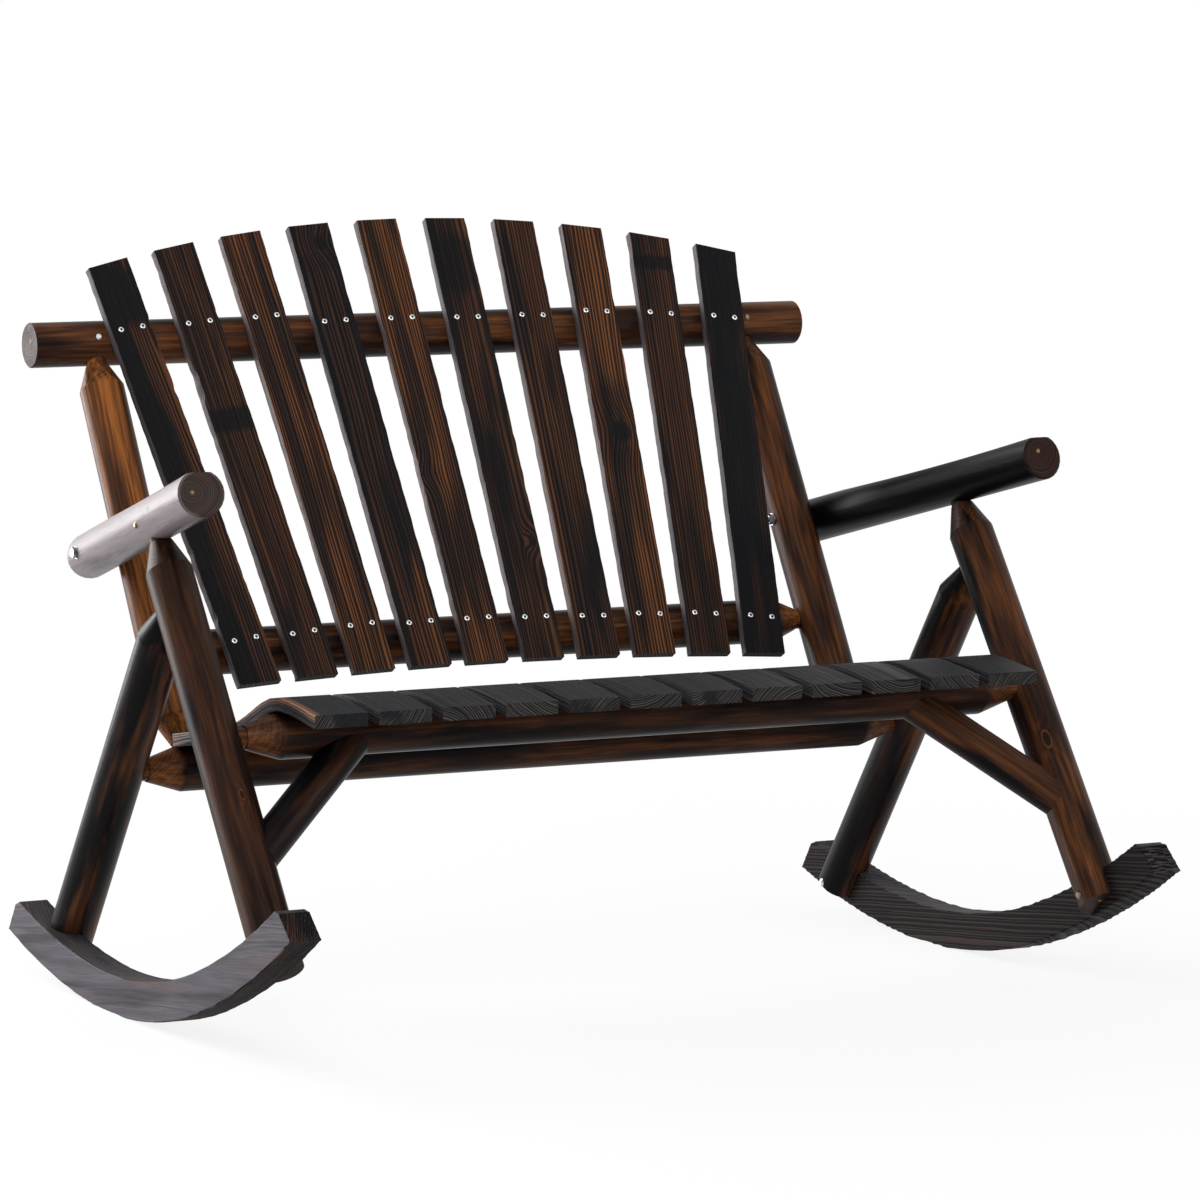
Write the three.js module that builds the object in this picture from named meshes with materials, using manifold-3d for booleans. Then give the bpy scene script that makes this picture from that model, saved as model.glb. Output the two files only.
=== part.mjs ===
// Two-seat rocking bench of turned logs and sawn boards, standing as it comes to rest on a level floor.
// Millimetres. X runs along the seat, -Y is the front, +Z is up. The logs end in pencil cones with
// round tenons that sit in drilled holes, and the legs are half lapped on the rockers.

import * as THREE from 'three';
import { mergeVertices } from 'three/addons/utils/BufferGeometryUtils.js';
import Module from 'manifold-3d';

const wasm = await Module();
wasm.setup();

// Clearances and cutting

const GAP = 0.3; // between pieces that touch
const OVERRUN = 40; // how far a cut runs past what it cuts
const ROUND_FACETS = 24; // sides of a turned log
const STEEL_FACETS = 16; // sides of a round steel piece
const UPRIGHT_ANGLE = 1; // degrees from the vertical within which a line counts as upright
const MEETING_STEPS = 40; // steps in which a leaning line closes in on a surface
const MEETING_SHARE = 0.5; // of the distance, covered by each step

// Logs

const LOG_D = 63; // legs, posts and rails
const ARM_D = 63;
const BRACE_D = 52;
const TENON_D = 28;
const TENON_DEPTH = 38; // how far a tenon goes into the log that takes it
const NECK_LENGTH = 5; // bare tenon between the cone and that log
const TENON_SHOULDER = 2; // step from the tenon to the cone's small end
const RAIL_CONE = 48; // cone at a rail's end
const LEG_CONE = 44; // cone at the top of a leg
const POST_CONE = 36; // cone at both ends of a back post
const ARM_REAR_ROUNDING = 24; // length over which the arm's rear end rounds over
const ARM_REAR_FLAT_SHARE = 0.3; // of the arm's radius, flat at the middle of its rear end
const ARM_REAR_FACETS = 4;
const ARM_FRONT_EASE = 3; // worn edge of the arm's front end
const RAIL_END_EASE = 1.5; // worn edge of the upper rail's ends

// Rockers: planks with a tighter arc in the middle and a flatter one towards the ends. Behind the middle
// the lower edge is worn flat, where the bench stands when nobody sits on it.

const OVERALL_WIDTH = 1300; // over the outer faces of the rockers
const ROCKER_THICKNESS = 43;
const ROCKER_DEPTH = 54;
const ROCKER_MID_RADIUS = 1000;
const ROCKER_MID_ANGLE = 10.6; // degrees to each side of the middle
const ROCKER_END_RADIUS = 1400;
const ROCKER_FRONT_ANGLE = 24.4; // degrees from the middle to the lower corner of the front end
const ROCKER_REAR_ANGLE = 23.8; // the same for the rear end
const REST_ANGLE = 7.1; // degrees from the middle to the middle of the flat, and so the tilt at rest
const REST_FLAT_ANGLE = 6.6; // degrees of the arc that the flat takes away
const ROCKER_MID_FACETS = 12;
const ROCKER_END_FACETS = 5;
const ROCKER_BEVEL = 19; // degrees by which the end cut leans over the middle
const ROCKER_CLIP = 9; // clipped upper corner of each end

// Side frame: places of the rails and the lean of legs and posts, with the rockers level

const FRONT_RAIL_Y = -202;
const FRONT_RAIL_Z = 370;
const FRONT_LEG_SETBACK = 6; // leg's axis behind the rail's axis
const REAR_RAIL_Y = 144;
const REAR_RAIL_Z = 328;
const LOWER_BACK_RAIL_Z = 482;
const LOWER_RAIL_SETBACK = 12; // behind the axes of the posts
const UPPER_BACK_RAIL_Z = 920;
const FRONT_LEG_LEAN = 30; // degrees, the top leans back
const REAR_LEG_LEAN = 44.2; // degrees, the top leans forward
const FRONT_FOOT_RISE = 11; // from a rocker's lower edge to the middle of a front leg's foot
const REAR_FOOT_RISE = 24; // the same for a rear leg
const POST_LEAN = 24.4; // degrees, the top leans back
const POST_INSET = 98; // from the plane of the legs to the axis of a back post
const UPPER_RAIL_OVERHANG = 92; // from the axis of a back post to the end of the upper rail

// Arms

const ARM_SLOPE = 6.5; // degrees, rising to the front
const ARM_BOLT_Z = 628; // height at which the arm crosses the post
const ARM_REACH_FRONT = 526; // from the bolt to the front end
const ARM_REACH_REAR = 66; // from the bolt to the rear end
const ARM_FRONT_OFFSET = 20; // front end stands outside the plane of the legs
const ARM_HOUSING = 3; // how deep the post is let into the arm
const ARM_SCOOP_DEPTH = 7;
const ARM_SCOOP_LENGTH = 600;
const ARM_SCOOP_MIDDLE = 195; // from the front end to the deepest place; the hollow runs out at that end
const SCOOP_FACETS = 12;

// Knee braces under the front seat rail

const BRACE_SPREAD = 199; // along the rail, from the leg's axis to the brace's axis
const BRACE_ANGLE = 43.4; // degrees below the rail

// Seat boards

const SEAT_SIDE_GAP = 41.7; // from a leg's side to the first board
const SEAT_SLAT_WIDTH = 75;
const SEAT_SLAT_SPACE = 15.6; // wanted between boards
const SEAT_SLAT_THICKNESS = 18;
const SEAT_NOSE_REACH = 151; // nose in front of the front rail's axis
const SEAT_NOSE_DROP = 25; // nose below the crest
const SEAT_CREST_REACH = 18; // crest in front of the front rail's axis
const SEAT_CREST_RISE = 1.2; // crest above the height at which a level board would lie on the rail
const SEAT_DIP = 30; // foot of the slope below the crest
const SEAT_DIP_REACH = 108; // foot of the slope behind the front rail's axis
const SEAT_HOLLOW = 40; // lowest part below the crest
const SEAT_HOLLOW_REACH = 214; // lowest part behind the front rail's axis
const SEAT_TAIL_REACH = 10; // rear end in front of the rear rail's axis
const SEAT_BEDDING = 0.6; // how far the boards are let in over the rails
const SEAT_FACETS = 18;

// Back boards, fanned out from the lower rail to the upper one

const BACK_SIDE_GAP = 46.75; // from a post's side to the first board, at the lower rail
const BACK_SLAT_WIDTH = 63.4;
const BACK_SLAT_SPACE = 23.5; // wanted between boards, at the lower rail
const BACK_SLAT_THICKNESS = 14;
const BACK_FAN_SPREAD = 65.25; // how much further out the last board stands at the upper rail
const BACK_CREST_RISE = 163; // crest above the upper rail, along the boards
const BACK_CREST_RADIUS = 1950;
const BACK_DROP = 56; // lower ends below the lower rail, along the boards
const BACK_DROP_RADIUS = 5850;
const ARCH_FACETS = 40;

// Steel

const BOLT_D = 8;
const BOLT_HEAD_AF = 13; // across the flats
const BOLT_HEAD_HEIGHT = 5.3;
const BOLT_END = 5; // beyond the nut
const NUT_HEIGHT = 6.5;
const WASHER_D = 18;
const WASHER_THICKNESS = 1.6;
const SPOT_FACE = 1.4; // how deep a washer is let into a log
const LAG_D = 7;
const LAG_HEAD_D = 12;
const LAG_HEAD_HEIGHT = 3.4;
const LAG_LENGTH = 56;
const LAG_SINK = 1.1; // head let into the log
const PIN_D = 5;
const PIN_HEAD_D = 9;
const PIN_HEAD_HEIGHT = 2.4;
const PIN_LENGTH = 34;
const PIN_SINK = 0.7;
const PIN_BELOW = 8; // arm pin below the point where the axes of arm and leg meet
const RAIL_PIN_RISE = 14; // degrees above the horizontal, on the front of the rail
const HEAD_RIM_SHARE = 0.35; // of a screw head's height, straight
const HEAD_TOP_SHARE = 0.6; // of a screw head's width, flat on top
const POINT_SHARE = 0.5; // of a screw's shank, the width of its blunt point

const FIR = new THREE.MeshStandardMaterial({ color: 0x3a241a, roughness: 0.55, metalness: 0 });
const CHARRED = new THREE.MeshStandardMaterial({ color: 0x241b18, roughness: 0.75, metalness: 0 });
const ZINC = new THREE.MeshStandardMaterial({ color: 0xb9bcbd, roughness: 0.35, metalness: 1 });

// Solids

const radians = THREE.MathUtils.degToRad;
const v3 = (x, y, z) => new THREE.Vector3(x, y, z);

function solidOf(geometry) {
  const bare = geometry.clone();
  bare.deleteAttribute('normal');
  bare.deleteAttribute('uv');
  const merged = mergeVertices(bare);
  const corners = merged.index.array;
  const kept = [];
  for (let i = 0; i < corners.length; i += 3) {
    const [a, b, c] = [corners[i], corners[i + 1], corners[i + 2]];
    if (a !== b && b !== c && c !== a) kept.push(a, b, c);
  }
  const vertProperties = new Float32Array(merged.attributes.position.array);
  const triVerts = new Uint32Array(kept);
  return new wasm.Manifold(new wasm.Mesh({ numProp: 3, vertProperties, triVerts }));
}

function geometryOf(solid) {
  const mesh = solid.getMesh();
  const geometry = new THREE.BufferGeometry();
  geometry.setAttribute('position', new THREE.BufferAttribute(new Float32Array(mesh.vertProperties), 3));
  geometry.setIndex(new THREE.BufferAttribute(new Uint32Array(mesh.triVerts), 1));
  geometry.computeVertexNormals();
  return geometry;
}

const cut = (solid, ...tools) => tools.reduce((rest, tool) => rest.subtract(tool), solid);

// A frame whose z runs from one point to another and whose y points up as far as it can
function frameAlong(from, to) {
  const z = to.clone().sub(from).normalize();
  const upright = Math.abs(z.z) > Math.cos(radians(UPRIGHT_ANGLE));
  const up = upright ? v3(0, -1, 0) : v3(0, 0, 1);
  const y = up.addScaledVector(z, -up.dot(z)).normalize();
  return new THREE.Matrix4().makeBasis(y.clone().cross(z), y, z).setPosition(from);
}

// A turned solid along +z from [height, radius] steps, closed on its axis, grown by a clearance all round
function turned(steps, { facets = ROUND_FACETS, grow = 0 } = {}) {
  const first = steps[0][0] - grow;
  const last = steps.at(-1)[0] + grow;
  const wall = steps.map(([height, radius]) => new THREE.Vector2(radius + grow, height));
  wall[0].y = first;
  wall.at(-1).y = last;
  const profile = [new THREE.Vector2(0, first), ...wall, new THREE.Vector2(0, last)];
  return solidOf(new THREE.LatheGeometry(profile, facets).rotateX(Math.PI / 2));
}

// A flat ring along +z
function ring(innerRadius, outerRadius, height) {
  const [inner, outer] = [innerRadius, outerRadius];
  const corners = [[inner, 0], [outer, 0], [outer, height], [inner, height], [inner, 0]];
  const profile = corners.map(([radius, z]) => new THREE.Vector2(radius, z));
  return solidOf(new THREE.LatheGeometry(profile, STEEL_FACETS).rotateX(Math.PI / 2));
}

const placed = (solid, frame) => solid.transform(frame.elements);
const prism = (shape, depth) => solidOf(new THREE.ExtrudeGeometry(shape, { depth, bevelEnabled: false }));

// An outline in the Y-Z plane, sawn from a plank that runs outwards or inwards in x
function sawn(shape, xA, xB) {
  const frame = new THREE.Matrix4().makeBasis(v3(0, 1, 0), v3(0, 0, 1), v3(1, 0, 0));
  return placed(prism(shape, Math.abs(xB - xA)), frame.setPosition(Math.min(xA, xB), 0, 0));
}

const outline = (points) => new THREE.Shape(points.map(([a, b]) => new THREE.Vector2(a, b)));
const steps = (count) => Array.from({ length: count + 1 }, (_, i) => i / count);

// Rockers, as arcs that share a tangent where the middle meets the ends

const LEG_X = OVERALL_WIDTH / 2 - ROCKER_THICKNESS; // inner face of a rocker, on the legs' axes
const POST_X = LEG_X - POST_INSET;
const midAngle = radians(ROCKER_MID_ANGLE);
const endCentreY = (ROCKER_MID_RADIUS - ROCKER_END_RADIUS) * Math.sin(midAngle);
const endCentreZ = ROCKER_MID_RADIUS - (ROCKER_MID_RADIUS - ROCKER_END_RADIUS) * Math.cos(midAngle);

// A point above the lower edge, at an angle from the middle and a height square to the edge
function rockerPoint(angle, rise) {
  const turn = Math.abs(angle);
  const inMiddle = turn <= midAngle;
  const radius = (inMiddle ? ROCKER_MID_RADIUS : ROCKER_END_RADIUS) - rise;
  const y = (inMiddle ? 0 : endCentreY) + radius * Math.sin(turn);
  const z = (inMiddle ? ROCKER_MID_RADIUS : endCentreZ) - radius * Math.cos(turn);
  return [Math.sign(angle) * y, z];
}

// Angles along an edge, from its rear end to its front end
function rockerAngles(rear, front) {
  const part = (from, to, facets) => steps(facets).map((t) => from + (to - from) * t);
  return [
    ...part(rear, midAngle, ROCKER_END_FACETS),
    ...part(midAngle, -midAngle, ROCKER_MID_FACETS).slice(1, -1),
    ...part(-midAngle, front, ROCKER_END_FACETS),
  ];
}

// The same angles with the flat instead of the arc under the resting bench
function wornAngles(rear, front) {
  const middle = radians(REST_ANGLE);
  const half = radians(REST_FLAT_ANGLE) / 2;
  const kept = rockerAngles(rear, front).filter((angle) => Math.abs(angle - middle) > half);
  return [...kept, middle - half, middle + half].sort((a, b) => b - a);
}

const bevel = radians(ROCKER_BEVEL);
const upperEndRadius = ROCKER_END_RADIUS - ROCKER_DEPTH;

// Length of an end cut, from the lower corner to the upper edge
const endCut = ROCKER_END_RADIUS * Math.cos(bevel)
  - Math.sqrt(upperEndRadius ** 2 - (ROCKER_END_RADIUS * Math.sin(bevel)) ** 2);

// The clipped upper corner of an end: its angle on the upper edge and its point on the end cut
function rockerEnd(angle) {
  const [cornerY, cornerZ] = rockerPoint(angle, 0);
  const lean = angle + Math.sign(angle) * bevel;
  const along = (reach) => [cornerY - reach * Math.sin(lean), cornerZ + reach * Math.cos(lean)];
  const [topY, topZ] = along(endCut);
  const turn = Math.atan2(Math.abs(topY) - endCentreY, endCentreZ - topZ) - ROCKER_CLIP / upperEndRadius;
  return { upper: Math.sign(angle) * turn, clip: along(endCut - ROCKER_CLIP) };
}

const rockerRear = radians(ROCKER_REAR_ANGLE);
const rockerFront = -radians(ROCKER_FRONT_ANGLE);

function rockerOutline() {
  const rear = rockerEnd(rockerRear);
  const front = rockerEnd(rockerFront);
  const lower = wornAngles(rockerRear, rockerFront).map((angle) => rockerPoint(angle, 0)).reverse();
  const upper = rockerAngles(rear.upper, front.upper).map((angle) => rockerPoint(angle, ROCKER_DEPTH));
  return outline([...lower, rear.clip, ...upper, front.clip]);
}

// Everything under a rocker's upper edge, which a leg is cut away from
function lapOutline() {
  const upper = rockerAngles(rockerRear, rockerFront)
    .map((angle) => rockerPoint(angle, ROCKER_DEPTH + GAP));
  const [rearY] = rockerPoint(rockerRear, 0);
  const [frontY] = rockerPoint(rockerFront, 0);
  return outline([[frontY, -OVERRUN], [rearY, -OVERRUN], ...upper]);
}

function rockerHeight(y) {
  if (Math.abs(y) <= ROCKER_MID_RADIUS * Math.sin(midAngle)) {
    return ROCKER_MID_RADIUS - Math.sqrt(ROCKER_MID_RADIUS ** 2 - y ** 2);
  }
  return endCentreZ - Math.sqrt(ROCKER_END_RADIUS ** 2 - (Math.abs(y) - endCentreY) ** 2);
}

// Lines of the side frame: where each leaning log is at a height

const leaning = (y, z, degrees) => (height) => y + (height - z) * Math.tan(radians(degrees));
const frontLegY = leaning(FRONT_RAIL_Y + FRONT_LEG_SETBACK, FRONT_RAIL_Z, FRONT_LEG_LEAN);
const rearLegY = leaning(REAR_RAIL_Y, REAR_RAIL_Z, -REAR_LEG_LEAN);
const postY = leaning(REAR_RAIL_Y, REAR_RAIL_Z, POST_LEAN);
const lowerRailY = postY(LOWER_BACK_RAIL_Z) + LOWER_RAIL_SETBACK;
const upperRailY = postY(UPPER_BACK_RAIL_Z);
const boltY = postY(ARM_BOLT_Z);
const armZ = (y) => ARM_BOLT_Z + (boltY - y) * Math.tan(radians(ARM_SLOPE));

// The height at which a line reaches a surface, found by stepping from one to the other
function meeting(lineY, surfaceZ) {
  let height = 0;
  for (let i = 0; i < MEETING_STEPS; i += 1) height += (surfaceZ(lineY(height)) - height) * MEETING_SHARE;
  return height;
}

// The height at which the rear leg's axis crosses the front leg's
const frontSlope = Math.tan(radians(FRONT_LEG_LEAN));
const rearSlope = Math.tan(radians(REAR_LEG_LEAN));
const apexZ = (rearLegY(0) - frontLegY(0)) / (frontSlope + rearSlope);

// Logs

const LOG_R = LOG_D / 2;
const ARM_R = ARM_D / 2;
const TENON_R = TENON_D / 2;
const UPPER_RAIL_END = POST_X + UPPER_RAIL_OVERHANG;

// Steps of a coned end, from the tip of its tenon inwards; seat is where the other log's skin lies
function conedEnd(seat, coneLength) {
  const neck = seat + NECK_LENGTH;
  return [
    [seat - TENON_DEPTH, TENON_R],
    [neck, TENON_R],
    [neck, TENON_R + TENON_SHOULDER],
    [neck + coneLength, LOG_R],
  ];
}

const squareEnd = (radius, ease) => [[0, radius - ease], [ease, radius]];

function roundedEnd(radius, reach) {
  return steps(ARM_REAR_FACETS).map((t) => {
    const turn = (t * Math.PI) / 2;
    const share = ARM_REAR_FLAT_SHARE + (1 - ARM_REAR_FLAT_SHARE) * Math.sin(turn);
    return [reach * (1 - Math.cos(turn)), radius * share];
  });
}

// Boards of one width over a span: as many as the wanted space allows, evenly spread
function spread(span, width, space) {
  const count = Math.round((span + space) / (width + space));
  return { count, pitch: (span - width) / (count - 1) };
}

// A log between two points, with the given steps at each end; it can be grown for the hole it sits in
function log(from, to, startSteps, endSteps) {
  const length = from.distanceTo(to);
  const finish = endSteps.map(([height, radius]) => [length - height, radius]).reverse();
  const frame = frameAlong(from, to);
  const build = (grow) => placed(turned([...startSteps, ...finish], { grow }), frame);
  return { solid: build(0), room: build(GAP), frame, length };
}

// How far along a log's axis the skin of the log it meets lies from that log's axis
const seatOn = (radius, directionA, directionB) => radius / directionA.clone().cross(directionB).length();
const direction = (from, to) => to.clone().sub(from).normalize();

function sideFrame(sign) {
  const legX = sign * LEG_X;
  const postX = sign * POST_X;
  const armX = postX + sign * (LOG_R + ARM_R - ARM_HOUSING);
  const bolt = v3(armX, boltY, ARM_BOLT_Z);
  const frontY = boltY - ARM_REACH_FRONT * Math.cos(radians(ARM_SLOPE));
  const armFront = v3(sign * (LEG_X + ARM_FRONT_OFFSET), frontY, armZ(frontY));
  const armRear = bolt.clone().addScaledVector(direction(armFront, bolt), ARM_REACH_REAR);

  const frontTop = meeting(frontLegY, armZ);
  const frontHead = v3(legX, frontLegY(frontTop), frontTop);
  const frontFootZ = meeting(frontLegY, (y) => rockerHeight(y) + FRONT_FOOT_RISE);
  const frontFoot = v3(legX, frontLegY(frontFootZ), frontFootZ);
  const rearFootZ = meeting(rearLegY, (y) => rockerHeight(y) + REAR_FOOT_RISE);
  const rearFoot = v3(legX, rearLegY(rearFootZ), rearFootZ);
  const apex = v3(legX, frontLegY(apexZ), apexZ);

  const rearEnd = roundedEnd(ARM_R, ARM_REAR_ROUNDING);
  const arm = log(armRear, armFront, rearEnd, squareEnd(ARM_R, ARM_FRONT_EASE));
  const armSeat = seatOn(ARM_R, direction(frontFoot, frontHead), direction(armRear, armFront));
  const frontLeg = log(frontHead, frontFoot, conedEnd(armSeat, LEG_CONE), squareEnd(LOG_R, 0));
  const legSeat = seatOn(LOG_R, direction(rearFoot, apex), direction(frontFoot, frontHead));
  const rearLeg = log(apex, rearFoot, conedEnd(legSeat, LEG_CONE), squareEnd(LOG_R, 0));
  const postFoot = v3(postX, REAR_RAIL_Y, REAR_RAIL_Z);
  const postHead = v3(postX, upperRailY, UPPER_BACK_RAIL_Z);
  const post = log(postFoot, postHead, conedEnd(LOG_R, POST_CONE), conedEnd(LOG_R, POST_CONE));

  const bracedZ = FRONT_RAIL_Z
    - BRACE_SPREAD * Math.tan(radians(BRACE_ANGLE)) * Math.cos(radians(FRONT_LEG_LEAN));
  const braceRail = v3(legX - sign * BRACE_SPREAD, FRONT_RAIL_Y, FRONT_RAIL_Z);
  const braceLeg = v3(legX, frontLegY(bracedZ), bracedZ);
  const brace = log(braceRail, braceLeg, squareEnd(BRACE_D / 2, 0), squareEnd(BRACE_D / 2, 0));
  return { sign, legX, postX, bolt, arm, armRear, armFront, frontLeg, frontHead, rearLeg, post, brace };
}

const acrossRail = (y, z, reach, ends) => log(v3(-reach, y, z), v3(reach, y, z), ends, ends);

const rails = {
  front_seat_rail: acrossRail(FRONT_RAIL_Y, FRONT_RAIL_Z, LEG_X, conedEnd(LOG_R, RAIL_CONE)),
  rear_seat_rail: acrossRail(REAR_RAIL_Y, REAR_RAIL_Z, LEG_X, conedEnd(LOG_R, RAIL_CONE)),
  lower_back_rail: acrossRail(lowerRailY, LOWER_BACK_RAIL_Z, POST_X, conedEnd(LOG_R, POST_CONE)),
  upper_back_rail: acrossRail(upperRailY, UPPER_BACK_RAIL_Z, UPPER_RAIL_END,
    squareEnd(LOG_R, RAIL_END_EASE)),
};

// The long hollow on top of an arm, as a segment of a large round
function scoop(arm) {
  const radius = (ARM_SCOOP_LENGTH ** 2 / 4 + ARM_SCOOP_DEPTH ** 2) / (2 * ARM_SCOOP_DEPTH);
  const half = Math.asin(ARM_SCOOP_LENGTH / 2 / radius);
  const middle = arm.length - ARM_SCOOP_MIDDLE;
  const top = ARM_R + radius - ARM_SCOOP_DEPTH;
  const points = steps(SCOOP_FACETS).map((t) => {
    const turn = half * (2 * t - 1);
    return [middle + radius * Math.sin(turn), top - radius * Math.cos(turn)];
  });
  points.push([middle + ARM_SCOOP_LENGTH / 2, ARM_D], [middle - ARM_SCOOP_LENGTH / 2, ARM_D]);
  const along = new THREE.Matrix4().makeBasis(v3(0, 0, 1), v3(0, 1, 0), v3(-1, 0, 0));
  return placed(placed(prism(outline(points), ARM_D), along.setPosition(ARM_R, 0, 0)), arm.frame);
}

// Seat boards: a spline over both rails, cut to an even thickness

const LOG_TOP = LOG_R + SEAT_SLAT_THICKNESS - SEAT_BEDDING;
const crestZ = FRONT_RAIL_Z + LOG_TOP + SEAT_CREST_RISE;
const tailZ = REAR_RAIL_Z + LOG_TOP - (LOG_R - Math.sqrt(LOG_R ** 2 - SEAT_TAIL_REACH ** 2));

function seatOutline() {
  const top = new THREE.SplineCurve([
    new THREE.Vector2(FRONT_RAIL_Y - SEAT_NOSE_REACH, crestZ - SEAT_NOSE_DROP),
    new THREE.Vector2(FRONT_RAIL_Y - SEAT_CREST_REACH, crestZ),
    new THREE.Vector2(FRONT_RAIL_Y + SEAT_DIP_REACH, crestZ - SEAT_DIP),
    new THREE.Vector2(FRONT_RAIL_Y + SEAT_HOLLOW_REACH, crestZ - SEAT_HOLLOW),
    new THREE.Vector2(REAR_RAIL_Y - SEAT_TAIL_REACH, tailZ),
  ]);
  const along = steps(SEAT_FACETS);
  const upper = along.map((t) => top.getPoint(t).toArray());
  const lower = along.map((t) => {
    const tangent = top.getTangent(t);
    const { x, y } = top.getPoint(t);
    return [x + tangent.y * SEAT_SLAT_THICKNESS, y - tangent.x * SEAT_SLAT_THICKNESS];
  });
  return outline([...lower, ...upper.reverse()]);
}

const seatSpan = 2 * (LEG_X - LOG_R - SEAT_SIDE_GAP);
const seatBoards = spread(seatSpan, SEAT_SLAT_WIDTH, SEAT_SLAT_SPACE);

function seatSlat(index) {
  const x = (index - (seatBoards.count - 1) / 2) * seatBoards.pitch;
  const board = sawn(seatOutline(), x - SEAT_SLAT_WIDTH / 2, x + SEAT_SLAT_WIDTH / 2);
  return cut(board, rails.front_seat_rail.room, rails.rear_seat_rail.room);
}

// Back boards: strips of a fan, cut to the arched outline of the whole back

const lowerRail = v3(0, lowerRailY, LOWER_BACK_RAIL_Z);
const upperRail = v3(0, upperRailY, UPPER_BACK_RAIL_Z);
const railSpacing = lowerRail.distanceTo(upperRail);
const backUp = direction(lowerRail, upperRail);
const backOut = v3(1, 0, 0).cross(backUp);
const backFrame = new THREE.Matrix4().makeBasis(v3(1, 0, 0), backUp, backOut)
  .setPosition(lowerRail.addScaledVector(backOut, LOG_R + GAP));

function arch(crest, radius, halfWidth) {
  return steps(ARCH_FACETS).map((t) => {
    const x = halfWidth * (2 * t - 1);
    return [x, crest - radius + Math.sqrt(radius ** 2 - x ** 2)];
  });
}

function backBlank() {
  const halfWidth = UPPER_RAIL_END;
  const lower = arch(-BACK_DROP, BACK_DROP_RADIUS, halfWidth);
  const upper = arch(railSpacing + BACK_CREST_RISE, BACK_CREST_RADIUS, halfWidth);
  return prism(outline([...lower, ...upper.reverse()]), BACK_SLAT_THICKNESS);
}

const backSpan = 2 * (POST_X - LOG_R - BACK_SIDE_GAP);
const backBoards = spread(backSpan, BACK_SLAT_WIDTH, BACK_SLAT_SPACE);

function backSlat(index, blank) {
  const place = index - (backBoards.count - 1) / 2;
  const fanned = (2 * BACK_FAN_SPREAD) / (backBoards.count - 1);
  const low = new THREE.Vector2(place * backBoards.pitch, 0);
  const high = new THREE.Vector2(place * (backBoards.pitch + fanned), railSpacing);
  const along = high.clone().sub(low).normalize();
  const across = new THREE.Vector2(along.y, -along.x).multiplyScalar(BACK_SLAT_WIDTH / 2);
  const foot = low.clone().addScaledVector(along, -BACK_DROP - BACK_CREST_RISE);
  const head = high.clone().addScaledVector(along, 2 * BACK_CREST_RISE);
  const corners = [foot.clone().sub(across), foot.clone().add(across), head.clone().add(across),
    head.clone().sub(across)];
  const strip = prism(new THREE.Shape(corners), BACK_SLAT_THICKNESS);
  return placed(strip.intersect(blank), backFrame);
}

// Steel

const hexRadius = BOLT_HEAD_AF / 2 / Math.cos(Math.PI / 6);
const hex = (height) => turned([[0, hexRadius], [height, hexRadius]], { facets: 6 });
const at = (frame, z) => frame.clone().multiply(new THREE.Matrix4().makeTranslation(0, 0, z));
const outwards = (from, head) => frameAlong(from, head).setPosition(head);

// A screw whose head sits on z = 0 and whose shank runs down, with the room that it needs
function screw(frame, shankD, length, headD, headHeight) {
  const profile = [
    [-length, (shankD / 2) * POINT_SHARE],
    [-length + shankD, shankD / 2],
    [0, shankD / 2],
    [0, headD / 2],
    [headHeight * HEAD_RIM_SHARE, headD / 2],
    [headHeight, (headD / 2) * HEAD_TOP_SHARE],
  ];
  const recess = [[-length, shankD / 2], [0, shankD / 2], [0, headD / 2], [headHeight + OVERRUN, headD / 2]];
  const options = { facets: STEEL_FACETS };
  return {
    solid: placed(turned(profile, options), frame),
    room: placed(turned(recess, { ...options, grow: GAP }), frame),
  };
}

// The bolt through arm and post, with z outwards from the post's axis
function armBolt({ sign, bolt, postX }) {
  const inner = v3(postX, bolt.y, bolt.z);
  const frame = frameAlong(inner, bolt);
  const outside = Math.abs(bolt.x - postX) + ARM_R - SPOT_FACE + GAP;
  const inside = -LOG_R + SPOT_FACE - GAP;
  const headSeat = outside + WASHER_THICKNESS + GAP;
  const nutSeat = inside - WASHER_THICKNESS - GAP;
  const tip = nutSeat - NUT_HEIGHT - BOLT_END;
  const facets = STEEL_FACETS;
  const shank = turned([[tip, BOLT_D / 2], [headSeat + BOLT_HEAD_HEIGHT / 2, BOLT_D / 2]], { facets });
  const head = placed(hex(BOLT_HEAD_HEIGHT), new THREE.Matrix4().makeTranslation(0, 0, headSeat));
  const hole = turned([[tip, BOLT_D / 2], [headSeat, BOLT_D / 2]], { facets, grow: GAP });
  const bore = turned([[-OVERRUN, BOLT_D / 2 + GAP], [OVERRUN, BOLT_D / 2 + GAP]], { facets });
  const washer = ring(BOLT_D / 2 + GAP, WASHER_D / 2, WASHER_THICKNESS);
  const spot = turned([[0, WASHER_D / 2], [OVERRUN, WASHER_D / 2]], { facets, grow: GAP });
  return {
    bolt: placed(shank.add(head), frame),
    washerOutside: placed(washer, at(frame, outside)),
    washerInside: placed(washer, at(frame, inside - WASHER_THICKNESS)),
    nut: placed(cut(hex(NUT_HEIGHT), bore), at(frame, nutSeat - NUT_HEIGHT)),
    hole: placed(hole, frame),
    outerSeat: placed(spot, at(frame, outside)),
    innerSeat: placed(spot, at(frame, inside - OVERRUN)),
  };
}

// A screw driven outwards through a leg's lap into its rocker
function lagScrew({ sign, legX }, lineY) {
  const height = meeting(lineY, (y) => rockerHeight(y) + ROCKER_DEPTH / 2);
  const head = v3(legX - sign * (LOG_R - LAG_SINK), lineY(height), height);
  return screw(outwards(v3(legX, head.y, head.z), head), LAG_D, LAG_LENGTH, LAG_HEAD_D, LAG_HEAD_HEIGHT);
}

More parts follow.
